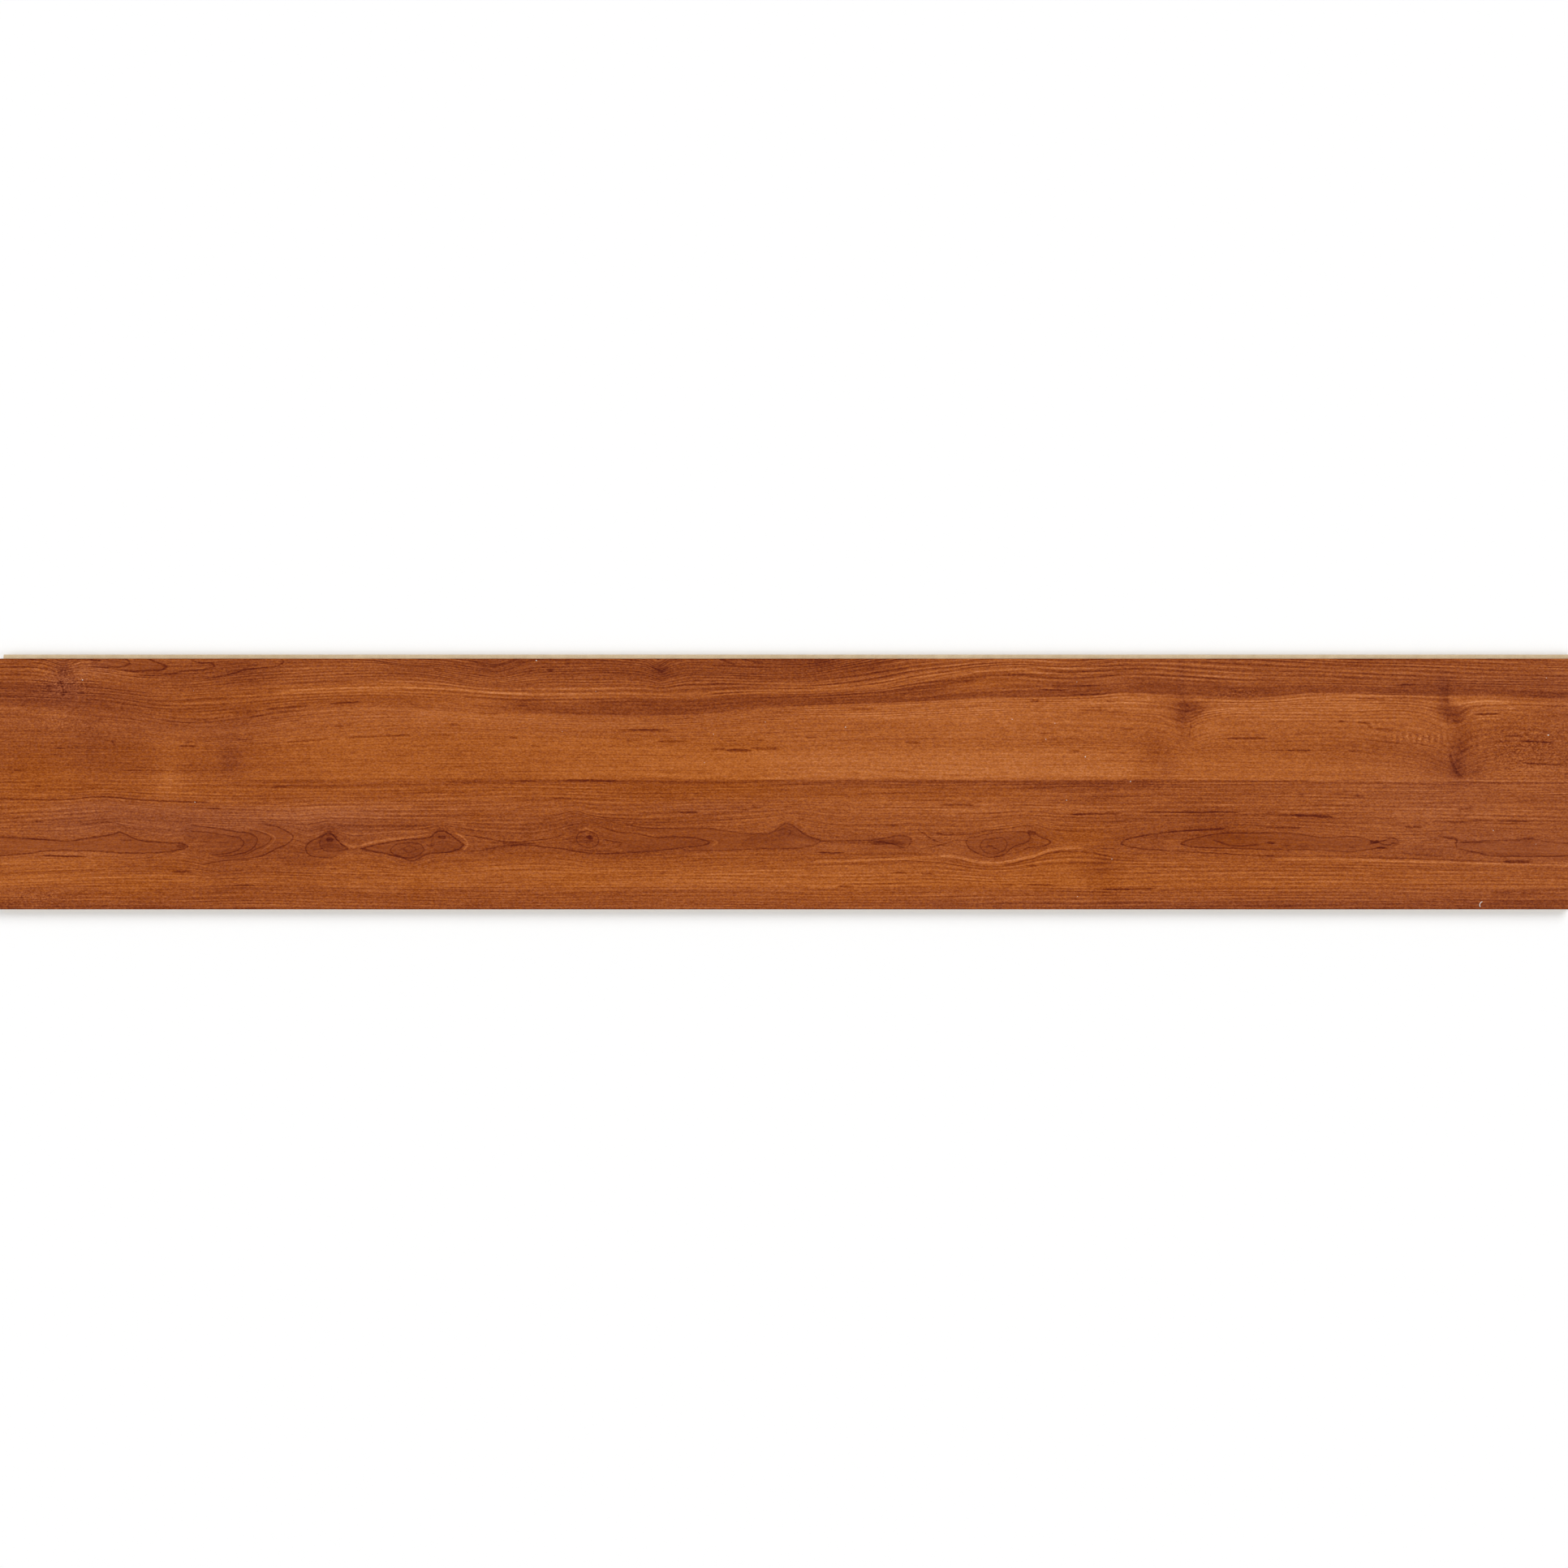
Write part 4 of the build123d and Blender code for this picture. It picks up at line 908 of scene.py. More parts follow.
def nearest(path, x, y):
    """For each point, how far it is from a path, how far along it lies, and whether it is left of it."""
    start, run = path[:-1], np.diff(path, axis=0)
    length = np.hypot(run[:, 0], run[:, 1])
    dx = x[:, None] - start[:, 0]
    dy = y[:, None] - start[:, 1]
    t = np.clip((dx * run[:, 0] + dy * run[:, 1]) / length ** 2, 0, 1)
    away = np.hypot(dx - t * run[:, 0], dy - t * run[:, 1])
    k = away.argmin(axis=1)
    point = np.arange(len(x))
    left = (run[:, 0] * dy - run[:, 1] * dx)[point, k] >= 0
    along = (np.cumsum(length) - length)[k] + t[point, k] * length[k]
    return away[point, k], along, left


def around(path, x, y, reach):
    """Numbers of the points in the box around a path."""
    low, high = path.min(axis=0) - reach, path.max(axis=0) + reach
    return np.flatnonzero((x > low[0]) & (x < high[0]) & (y > low[1]) & (y < high[1]))


def inside(path, x, y):
    """Which points lie inside a path, its end joined to its start."""
    crossed = np.zeros(len(x), bool)
    for (x0, y0), (x1, y1) in zip(path, np.roll(path, -1, axis=0)):
        if y0 != y1:
            crossed ^= ((y0 > y) != (y1 > y)) & (x < x0 + (y - y0) * (x1 - x0) / (y1 - y0))
    return crossed


def fill_figure(stroke, path, x, y, fields):
    """Lays the fill of a figure on the print: its shade, its purple and how calm the grain is in it."""
    near = around(path, x, y, FILL_SOFT)
    away = nearest(path, x[near], y[near])[0]
    within = np.where(inside(path, x[near], y[near]), away, -away)
    share = np.clip(within / FILL_SOFT + 0.5, 0, 1)
    fields["lightness"][near] += stroke.fill * share
    fields["purple"][near] -= stroke.fill * FILL_PURPLE * share
    fields["calm"][near] = np.maximum(fields["calm"][near], share)


def lay_stroke(stroke, path, x, y, ink):
    """Writes a stroke on an ink: how far each point is from its middle, its lightness and half its width."""
    reach = stroke.width + STROKE_REACH
    near = around(path, x, y, reach + STROKE_GUARD)
    away, along, left = nearest(path, x[near], y[near])
    total = np.hypot(*np.diff(path, axis=0).T).sum()
    dot = total < DOT_LENGTH
    if dot or stroke.points[0] == stroke.points[-1]:
        taper = np.ones_like(along)
    else:
        taper = np.clip(np.minimum(along, total - along) / min(TAPER, total / TAPER_PARTS), 0, 1)
    fade = np.clip((reach - away) / STROKE_FADE, 0, 1)
    wins = (away < np.abs(ink[near, 0])) & (away < reach + STROKE_GUARD)
    chosen = near[wins]
    ink[chosen, 0] = np.where(left | dot, away, -away)[wins]
    ink[chosen, 1] = (stroke.lightness * INK_GAIN * np.minimum(TAPER_RISE * taper, 1) * fade)[wins]
    ink[chosen, 2] = (stroke.width * (TIP_WIDTH + (1 - TIP_WIDTH) * taper))[wins]


def print_plank(mesh):
    """Stores the print on the plank's mesh: grain, shade, line strength and inks."""
    co = np.empty(3 * len(mesh.vertices), np.float32)
    mesh.vertices.foreach_get("co", co)
    co = co.reshape(-1, 3).astype(float)
    x = (co[:, 0] - PLANK_LOW.x) / MM
    y = (co[:, 1] - PLANK_LOW.y) / MM - FACE_WIDTH / 2
    flow = grain_flow(x, y)
    lightness, purple = shade(x, y, flow)
    fields = {"grain": flow, "lightness": lightness, "purple": purple, **line_strength(x, flow)}
    fields["curl"] = curl_strength(x, y, CURLS_AND_GLINTS)
    fields["bars"] = curl_strength(x, y, BARS)
    fields["calm"] = np.zeros_like(x)
    strokes = all_strokes()
    paths = [stroke_path(stroke) for stroke in strokes]
    for stroke, path in zip(strokes, paths):
        if stroke.fill:
            fill_figure(stroke, path, x, y, fields)
    for name, values in fields.items():
        field = mesh.attributes.new(name, "FLOAT", "POINT")
        field.data.foreach_set("value", values.astype(np.float32))
    for number, members in enumerate(share_out(paths)):
        ink = np.tile(NO_STROKE, (len(x), 1))
        for n in members:
            lay_stroke(strokes[n], paths[n], x, y, ink)
        field = mesh.attributes.new(f"ink_{number}", "FLOAT_VECTOR", "POINT")
        field.data.foreach_set("vector", ink.ravel().astype(np.float32))


# Node trees.

class Wire:
    """A socket of a node tree. Arithmetic on it adds Math nodes."""

    def __init__(self, tree, socket):
        self.tree = tree
        self.socket = socket

    def math(self, operation, *others, clamp=False):
        """Adds a Math node that works on this socket and others."""
        node = self.tree.nodes.new("ShaderNodeMath")
        node.operation = operation
        node.use_clamp = clamp
        for socket, value in zip(node.inputs, (self, *others)):
            connect(self.tree, value, socket)
        return Wire(self.tree, node.outputs[0])

    def __add__(self, other):
        return self.math("ADD", other)

    def __sub__(self, other):
        return self.math("SUBTRACT", other)

    def __mul__(self, other):
        return self.math("MULTIPLY", other)

    def __truediv__(self, other):
        return self.math("DIVIDE", other)

    def clamped(self):
        """The value kept between 0 and 1."""
        return self.math("ADD", 0.0, clamp=True)


def connect(tree, value, socket):
    """Links a wire to a socket, or sets a plain value on it."""
    if isinstance(value, Wire):
        tree.links.new(value.socket, socket)
    else:
        socket.default_value = value


def add(tree, kind, inputs=None, output=0, **settings):
    """Adds a node with its settings and inputs, and returns one of its outputs."""
    node = tree.nodes.new(kind)
    for name, value in settings.items():
        setattr(node, name, value)
    for name, value in (inputs or {}).items():
        connect(tree, value, node.inputs[name])
    return Wire(tree, node.outputs[output])


def new_group(name, inputs, outputs, kind="ShaderNodeTree"):
    """An empty node group. Returns the tree, its inputs by name and its output node.

    An input has its kind of socket and, where there is one, its default. An output has its kind alone.
    """
    tree = bpy.data.node_groups.new(name, kind)
    for label, (socket_type, *default) in inputs.items():
        socket = tree.interface.new_socket(label, in_out="INPUT", socket_type=socket_type)
        if default:
            socket.default_value = default[0]
    for label, socket_type in outputs.items():
        tree.interface.new_socket(label, in_out="OUTPUT", socket_type=socket_type)
    entry = tree.nodes.new("NodeGroupInput")
    given = {label: Wire(tree, entry.outputs[label]) for label in inputs}
    return tree, given, tree.nodes.new("NodeGroupOutput")


def use_group(tree, name, build, inputs):
    """Places a shader group in a tree, building it the first time, and returns its output."""
    node = tree.nodes.new("ShaderNodeGroup")
    node.node_tree = bpy.data.node_groups.get(name) or build(name)
    for label, value in inputs.items():
        connect(tree, value, node.inputs[label])
    return Wire(tree, node.outputs[0])


def split(tree, vector):
    """The three parts of a vector."""
    node = tree.nodes.new("ShaderNodeSeparateXYZ")
    connect(tree, vector, node.inputs[0])
    return [Wire(tree, socket) for socket in node.outputs]


def noise(tree, x, y, z, detail=1.0):
    """Noise at a place, spread about 0 by about 1."""
    place = add(tree, "ShaderNodeCombineXYZ", {"X": x, "Y": y, "Z": z})
    value = add(tree, "ShaderNodeTexNoise", {"Vector": place, "Scale": 1.0, "Detail": detail})
    return (value - 0.5) * NOISE_SPREAD


def clouds(tree, place, size):
    """Noise whose spots have the given size in each direction."""
    return noise(tree, *(part / length for part, length in zip(split(tree, place), size)))


def mixed(marks, shares):
    """Sum of the named marks, each times its share."""
    total = None
    for name, share in shares.items():
        part = marks[name] * share
        total = part if total is None else total + part
    return total


def build_long_grain(name):
    """Streaks that run along the grain."""
    inputs = {
        "Along": (FLOAT, 0.0),
        "Across": (FLOAT, 0.0),
        "Length": (FLOAT, 20.0),
        "Period": (FLOAT, 3.0),
        "Seed": (FLOAT, 0.0),
    }
    tree, given, out = new_group(name, inputs, {"Value": FLOAT})
    streaks = noise(tree, given["Along"] / given["Length"], given["Across"] / given["Period"], given["Seed"])
    connect(tree, streaks, out.inputs["Value"])
    return tree


def build_growth_rings(name):
    """Even lines that follow the grain, drift a little and come and go: a value about 0."""
    inputs = {"Along": (FLOAT, 0.0), "Across": (FLOAT, 0.0), "Period": (FLOAT, 3.0), "Seed": (FLOAT, 0.0)}
    tree, given, out = new_group(name, inputs, {"Value": FLOAT})

    def wide_noise(size, seed):
        return noise(tree, given["Along"] / size[0], given["Across"] / size[1], seed)

    drift = wide_noise(RING_DRIFT_SIZE, given["Seed"]) * RING_DRIFT
    wave = ((given["Across"] / given["Period"] + drift) * (2 * pi)).math("SINE")
    swell = wide_noise(RING_SWELL_SIZE, given["Seed"] + SWELL_SEED_STEP) * RING_SWELL
    strength = (swell + RING_STRENGTH).math("MAXIMUM", LEAST_RING_STRENGTH)
    connect(tree, wave * strength, out.inputs["Value"])
    return tree


def build_ink_stroke(name):
    """What the strokes of one ink add to the lightness."""
    inputs = {"Ink": (VECTOR,), "Wander": (FLOAT, 0.0), "Soft": (FLOAT, 0.5)}
    tree, given, out = new_group(name, inputs, {"Lightness": FLOAT})
    distance, lightness, half_width = split(tree, given["Ink"])
    away = (distance + given["Wander"]).math("ABSOLUTE")
    cover = ((half_width - away) / given["Soft"] + 0.5).clamped()
    connect(tree, lightness * cover, out.inputs["Lightness"])
    return tree


def build_fibres(name):
    """Short fibres pressed into a sheet or board: a value about 0."""
    inputs = {"Place": (VECTOR,), "Size": (FLOAT, 1.0), "Stretch": (FLOAT, 3.0)}
    tree, given, out = new_group(name, inputs, {"Value": FLOAT})
    x, y, z = split(tree, given["Place"])
    size = given["Size"]
    length = size * given["Stretch"]
    flat = noise(tree, x / length, y / size, z / size, FINE_DETAIL)
    crossed = noise(tree, x / size, y / length, z / size, FINE_DETAIL)
    connect(tree, flat.math("MAXIMUM", crossed) - 0.5, out.inputs["Value"])
    return tree


# Materials.

def linear(value):
    """A share of full brightness in linear light, from a share of full brightness on screen."""
    value = max(value, 0.0)
    return value / 12.92 if value <= 0.04045 else ((value + 0.055) / 1.055) ** 2.4


def seen_colour(colour):
    """Base colour that looks like the given one once the surface's own gloss lies over it."""
    return [max(linear(value) - GLOSS_VEIL, LEAST_COLOUR) for value in colour] + [1.0]


def plain_colour(colour):
    """Base colour from a colour as it looks on screen."""
    return [linear(value) for value in colour] + [1.0]


def blend(tree, share, below, above):
    """One colour laid over another by a share."""
    mix = tree.nodes.new("ShaderNodeMix")
    mix.data_type = "RGBA"
    for index, value in ((0, share), (6, below), (7, above)):
        connect(tree, value, mix.inputs[index])
    return Wire(tree, mix.outputs[2])


def ramp_colour(tree, share, stops):
    """Colour between stops, each a place from 0 to 1 and a colour."""
    node = tree.nodes.new("ShaderNodeValToRGB")
    connect(tree, share, node.inputs[0])
    ramp = node.color_ramp.elements
    for spare in range(len(stops) - 2):
        ramp.new(0.5)
    for stop, (place, colour) in zip(ramp, stops):
        stop.position = place
        stop.color = colour
    return Wire(tree, node.outputs[0])


def print_colour(tree, lightness, purple, settings):
    """Colour of the print, from its lightness in 255ths and from olive, below 0, to purple, above 0."""
    low, high = PRINT_TONES[0][1], PRINT_TONES[-1][1]
    share = (lightness - low) / (high - low)
    hues = []
    for hue in (-HUE_RANGE, HUE_RANGE):
        stops = []
        for name, tone in PRINT_TONES:
            shifts = zip(getattr(settings, name), PURPLE_SHIFT)
            colour = [value + hue * shift / 255 for value, shift in shifts]
            stops.append(((tone - low) / (high - low), seen_colour(colour)))
        hues.append(ramp_colour(tree, share, stops))
    return blend(tree, (purple / (2 * HUE_RANGE) + 0.5).clamped(), *hues)


def new_material(name, roughness, ior):
    """A material of that name. Returns it with its node tree and its shader."""
    material = bpy.data.materials.new(name)
    material.use_nodes = True
    shader = material.node_tree.nodes["Principled BSDF"]
    shader.inputs["Roughness"].default_value = roughness
    shader.inputs["IOR"].default_value = ior
    return material, material.node_tree, shader


def press(tree, shader, height, strength, depth):
    """Presses a height into the surface."""
    bump = add(tree, "ShaderNodeBump", {"Height": height, "Strength": strength, "Distance": depth})
    connect(tree, bump, shader.inputs["Normal"])


def place_in_mm(tree):
    """Place on the plank in millimetres."""
    place = add(tree, "ShaderNodeTexCoord", output="Object")
    return add(tree, "ShaderNodeVectorMath", {0: place, 1: (1 / MM, 1 / MM, 1 / MM)}, operation="MULTIPLY")


def stored(tree, name, output="Fac"):
    """A field that is stored on the plank's mesh."""
    return add(tree, "ShaderNodeAttribute", output=output, attribute_name=name)


def print_marks(tree, x, y):
    """Every kind of streak, line and spot of the print, by name, each a value about 0."""
    grain = stored(tree, "grain")
    marks = {}
    for kind, (length, period, seed) in STREAKS.items():
        inputs = {"Along": x, "Across": grain, "Length": length, "Period": period, "Seed": seed}
        marks[kind] = use_group(tree, "Long grain", build_long_grain, inputs)
    for kind, (period, seed) in RING_LINES.items():
        inputs = {"Along": x, "Across": grain, "Period": period, "Seed": seed}
        marks[kind] = use_group(tree, "Growth rings", build_growth_rings, inputs)
    for kind, (along, across, seed) in SPOTS.items():
        marks[kind] = noise(tree, x / along, y / across, seed)
    marks["pits"] = (marks["pores"] - PIT_LEVEL).math("MINIMUM", 0.0)
    return marks


def curly_wood(tree, x, y, marks):
    """What the ripples, their painted glints and the upright bars of curly wood add to the lightness."""
    lean_along, lean_across = RIPPLE_LEAN
    length, width = RIPPLE_SIZE
    ripple = noise(tree, (x + y * lean_along) / length, (y - x * lean_across) / width, RIPPLE_SEED)
    # Painted glints: pale points on the ripples, standing in for the sparkle of the gloss.
    crests = (marks["crests"] - PAINTED_GLINT_LEVEL).math("MAXIMUM", 0.0)
    bars = (x * (2 * pi / BAR_PERIOD)).math("SINE") + ripple * BAR_RIPPLE
    curls = (ripple * RIPPLE_SHARE + crests * PAINTED_GLINT_SHARE) * stored(tree, "curl")
    return curls + bars * stored(tree, "bars")


def printed_strokes(tree, marks):
    """What the outlines, flecks and pale lines add to the lightness."""
    wander = marks["wander"] * STROKE_WANDER
    whole = (marks["gaps"] * STROKE_GAPS + 1.0).clamped()
    total = None
    for number in range(INKS):
        inputs = {"Ink": stored(tree, f"ink_{number}", "Vector"), "Wander": wander, "Soft": STROKE_SOFT}
        stroke = use_group(tree, "Ink stroke", build_ink_stroke, inputs)
        total = stroke if total is None else total + stroke
    return total * whole


def printed_face_material(settings):
    """Decor print under a satin wear layer: grain lines, figures, flecks, speckle, painted glints and painted
    rim shade.
    """
    material, tree, shader = new_material("printed_face", settings.roughness, WEAR_LAYER_IOR)
    shader.inputs["Specular IOR Level"].default_value = settings.gloss
    x, y = split(tree, place_in_mm(tree))[:2]
    marks = print_marks(tree, x, y)
    lines = marks["slow"] * settings.slow_lines + mixed(marks, SPECKLE_SHARES) * settings.speckle
    lines = lines + mixed(marks, FINE_SHARES) * stored(tree, "fine")
    for kind in ("rings", "hairs", "broad"):
        lines = lines + marks[kind] * stored(tree, kind)
    lightness = stored(tree, "lightness") + MEAN_LIGHTNESS + lines * (stored(tree, "calm") * -CALM + 1.0)
    lightness = lightness + curly_wood(tree, x, y, marks) + marks["pits"] * settings.pore_darkness
    lightness = lightness + printed_strokes(tree, marks)
    hue = stored(tree, "purple") + MEAN_HUE + marks["hue"] * HUE_SPECKLE
    connect(tree, print_colour(tree, lightness, hue, settings), shader.inputs["Base Color"])
    connect(tree, mixed(marks, ROUGHNESS_SHARES) + settings.roughness, shader.inputs["Roughness"])
    press(tree, shader, mixed(marks, PRESSED_SHARES), FACE_PRESS, settings.press_depth)
    return material


def raw_board_material(settings):
    """Milled sides of the fibre board, with the dark edge of the wear layer at the top."""
    material, tree, shader = new_material("raw_board", BOARD_ROUGHNESS, BOARD_IOR)
    place = place_in_mm(tree)
    marks = {
        "fibres": use_group(tree, "Pressed fibres", build_fibres, {"Place": place, "Size": BOARD_FIBRE}),
        "clumps": clouds(tree, place, CLUMP_SIZE),
        "mills": clouds(tree, place, MILL_SIZE),
    }
    tone = (mixed(marks, BOARD_SHARES) + MEAN_TONE).clamped()
    colour = blend(tree, tone, plain_colour(settings.board_dark), plain_colour(settings.board_pale))
    height = split(tree, place)[2]
    layer = ((height - (FACE_HEIGHT / MM - WEAR_LAYER)) / LAYER_SOFT).clamped()
    paper = ((height - BACKING_LAYER) / -LAYER_SOFT).clamped()
    colour = blend(tree, layer, colour, plain_colour(settings.layer_edge))
    colour = blend(tree, paper, colour, plain_colour(settings.backing_dark))
    connect(tree, colour, shader.inputs["Base Color"])
    press(tree, shader, marks["fibres"] + marks["mills"], BOARD_PRESS, BOARD_PRESS_DEPTH)
    return material


def backing_material(settings):
    """Balancing paper on the underside."""
    material, tree, shader = new_material("backing_paper", PAPER_ROUGHNESS, BOARD_IOR)
    place = place_in_mm(tree)
    x, y = split(tree, place)[:2]
    length, width = PAPER_CLOUD_SIZE
    marks = {
        "fibres": use_group(tree, "Pressed fibres", build_fibres, {"Place": place, "Size": PAPER_FIBRE}),
        "clouds": noise(tree, x / length, y / width, PAPER_CLOUD_SEED, FINE_DETAIL),
    }
    tone = (mixed(marks, PAPER_SHARES) + MEAN_TONE).clamped()
    colour = blend(tree, tone, plain_colour(settings.backing_dark), plain_colour(settings.backing_pale))
    connect(tree, colour, shader.inputs["Base Color"])
    press(tree, shader, marks["fibres"], PAPER_PRESS, PAPER_PRESS_DEPTH)
    return material


def dust_material(settings):
    """Pale dust."""
    material, tree, shader = new_material("dust", DUST_ROUGHNESS, BOARD_IOR)
    marks = {"shades": clouds(tree, place_in_mm(tree), DUST_SHADE_SIZE)}
    tone = (mixed(marks, DUST_SHARES) + DUST_TONE).clamped()
    colour = blend(tree, tone, plain_colour(settings.shaded), plain_colour(settings.lit))
    connect(tree, colour, shader.inputs["Base Color"])
    return material


# Meshes.

def finished(obj):
    """Turns a piece's modifiers into plain mesh."""
    depsgraph = bpy.context.evaluated_depsgraph_get()
    mesh = bpy.data.meshes.new_from_object(
        obj.evaluated_get(depsgraph), preserve_all_data_layers=True, depsgraph=depsgraph
    )
    mesh.name = obj.name
    obj.modifiers.clear()
    obj.data = mesh
    return obj


def add_nodes_modifier(obj, tree, values):
    """Gives an object a Geometry Nodes modifier with its inputs set by name."""
    modifier = obj.modifiers.new(tree.name, "NODES")
    modifier.node_group = tree
    for item in tree.interface.items_tree:
        if item.in_out == "INPUT" and item.name in values:
            modifier[item.identifier] = values[item.name]


def link_new(name, data):
    """A new object in the scene."""
    obj = bpy.data.objects.new(name, data)
    bpy.context.scene.collection.objects.link(obj)
    return obj


def on_face(x, y):
    """Place of a point of the face, from millimetres along and up."""
    return (PLANK_LOW.x + x * MM, PLANK_LOW.y + (y + FACE_WIDTH / 2) * MM, FACE_HEIGHT)


def rounded_places(low, high, radius, cells):
    """Places across the face, with steps down the rounded edge at both ends, and how deep each lies."""
    angle = np.linspace(0, pi / 2, EDGE_STEPS + 1)[1:]
    out = radius * np.sin(angle)
    drop = radius * (1 - np.cos(angle))
    places = np.concatenate([low - out[::-1], np.linspace(low, high, cells + 1), high + out])
    return places, np.concatenate([drop[::-1], np.zeros(cells + 1), drop])


def face_mesh(columns, rows):
    """The printed face as an even grid, rounded down at its edges. Each argument is places and depths."""
    x, x_drop = columns
    y, y_drop = rows
    z = FACE_HEIGHT - np.maximum(x_drop[:, None], y_drop[None])
    points = np.stack([np.broadcast_to(x[:, None], z.shape), np.broadcast_to(y[None], z.shape), z], axis=2)
    corner = np.arange(z.size).reshape(z.shape)
    quads = np.stack([corner[:-1, :-1], corner[1:, :-1], corner[1:, 1:], corner[:-1, 1:]], axis=2)
    mesh = bpy.data.meshes.new("face")
    mesh.from_pydata(points.reshape(-1, 3), [], quads.reshape(-1, 4))
    return mesh


def cut_edge(edge, places, axis):
    """Puts vertices on a straight edge at the given places along an axis."""
    near, far = sorted(edge.verts, key=lambda vert: vert.co[axis])
    for place in places:
        share = (place - near.co[axis]) / (far.co[axis] - near.co[axis])
        near = bmesh.utils.edge_split(edge, near, share)[1]
        near.co[axis] = place


def plank_bmesh(settings):
    """The plank's own surface with a fine grid in place of its plain face, as one closed mesh."""
    bm = bmesh.new()
    bm.from_mesh(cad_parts["plank"].data)
    bmesh.ops.remove_doubles(bm, verts=bm.verts, dist=MERGE)
    flat = [vert.co for vert in bm.verts if vert.co.z > FACE_HEIGHT - MERGE]
    flat_low = [min(co[axis] for co in flat) for axis in (0, 1)]
    flat_high = [max(co[axis] for co in flat) for axis in (0, 1)]
    radius = flat_low[0] - PLANK_LOW.x
    rim = FACE_HEIGHT - radius
    old = []
    for face in bm.faces:
        lowest = min(vert.co.z for vert in face.verts)
        if lowest > rim - MERGE and face.normal.z > MERGE:
            old.append(face)
    bmesh.ops.delete(bm, geom=old, context="FACES")
    columns = rounded_places(flat_low[0], flat_high[0], radius, settings.columns)
    rows = rounded_places(flat_low[1], flat_high[1], radius, settings.rows)
    for edge in [edge for edge in bm.edges if edge.is_boundary]:
        axis = 0 if abs(edge.verts[0].co.x - edge.verts[1].co.x) > MERGE else 1
        cut_edge(edge, (columns, rows)[axis][0][1:-1], axis)
    bm.from_mesh(face_mesh(columns, rows))
    bmesh.ops.remove_doubles(bm, verts=bm.verts, dist=MERGE)
    return bm, rim


def side_of(face, rim):
    """Which side of the plank a face belongs to."""
    middle = face.calc_center_median()
    normal = face.normal
    if middle.z > rim - MERGE and normal.z > MERGE:
        return "left" if middle.x < 0 else "right"
    if middle.z < MERGE:
        return "underside"
    beyond_end = abs(middle.x) - FACE_LENGTH * MM / 2
    beyond_side = abs(middle.y) - FACE_WIDTH * MM / 2
    if max(abs(normal.x), abs(normal.y)) > MERGE:
        on_end = abs(normal.x) > abs(normal.y)
    else:
        on_end = beyond_end > beyond_side
    if on_end:
        return "end_tongue" if middle.x > 0 else "end_groove"
    return "long_tongue" if middle.y > 0 else "long_groove"


def unfold(bm, rim):
    """Lays every side out on a strip of its own for the bake, and gives it its material."""
    layer = bm.loops.layers.uv.new(BAKE_MAP)
    size = PLANK_HIGH - PLANK_LOW
    roots = {
        "long_tongue": (1, PLANK_HIGH.y),
        "long_groove": (1, PLANK_LOW.y + GROOVE_DEPTH),
        "end_tongue": (0, PLANK_HIGH.x),
        "end_groove": (0, PLANK_LOW.x + GROOVE_DEPTH),
    }
    for face in bm.faces:
        side = side_of(face, rim)
        low, high = STRIPS[side]
        above = 1 if face.calc_center_median().z > TONGUE_MIDDLE else -1
        for loop in face.loops:
            co = loop.vert.co
            along = (co.x - PLANK_LOW.x) / size.x
            up = (co.y - PLANK_LOW.y) / size.y
            if side == "left":
                along = (co.x - PLANK_LOW.x) / -PLANK_LOW.x
            elif side == "right":
                along = co.x / PLANK_HIGH.x
            elif side in roots:
                axis, root = roots[side]
                along = up if axis == 0 else along
                path = co.z - TONGUE_MIDDLE + above * UNFOLD_SLANT * abs(co[axis] - root)
                up = path / UNFOLD_REACH + 0.5
            loop[layer].uv = (along, low + (high - low) * up)
        face.material_index = MATERIALS.get(side, MILLED)
        face.smooth = True
    for edge in bm.edges:
        edge.smooth = edge.calc_face_angle(0) < SHARP_ANGLE


def pressed_grain_tree():
    """Geometry Nodes that press shallow pores into the face, along its grain."""
    inputs = {
        "Geometry": (GEOMETRY,),
        "Depth": (FLOAT, RELIEF),
        "Pore length": (FLOAT, 14.0),
        "Pore width": (FLOAT, 2.2),
        "Seed": (FLOAT, 5.0),
    }
    tree, given, out = new_group("Pressed grain", inputs, {"Geometry": GEOMETRY}, "GeometryNodeTree")
    grain = add(tree, "GeometryNodeInputNamedAttribute", {"Name": "grain"}, data_type="FLOAT")
    x, _, z = split(tree, add(tree, "GeometryNodeInputPosition"))
    pores = noise(tree, x / MM / given["Pore length"], grain / given["Pore width"], given["Seed"])
    depth = (pores * -PORE_STEEPNESS).clamped() * given["Depth"] * -1.0
    offset = add(tree, "ShaderNodeCombineXYZ", {"X": 0.0, "Y": 0.0, "Z": depth})
    on_top = z.math("GREATER_THAN", FACE_HEIGHT - MERGE)
    moves = {"Geometry": given["Geometry"], "Selection": on_top, "Offset": offset}
    connect(tree, add(tree, "GeometryNodeSetPosition", moves), out.inputs["Geometry"])
    return tree


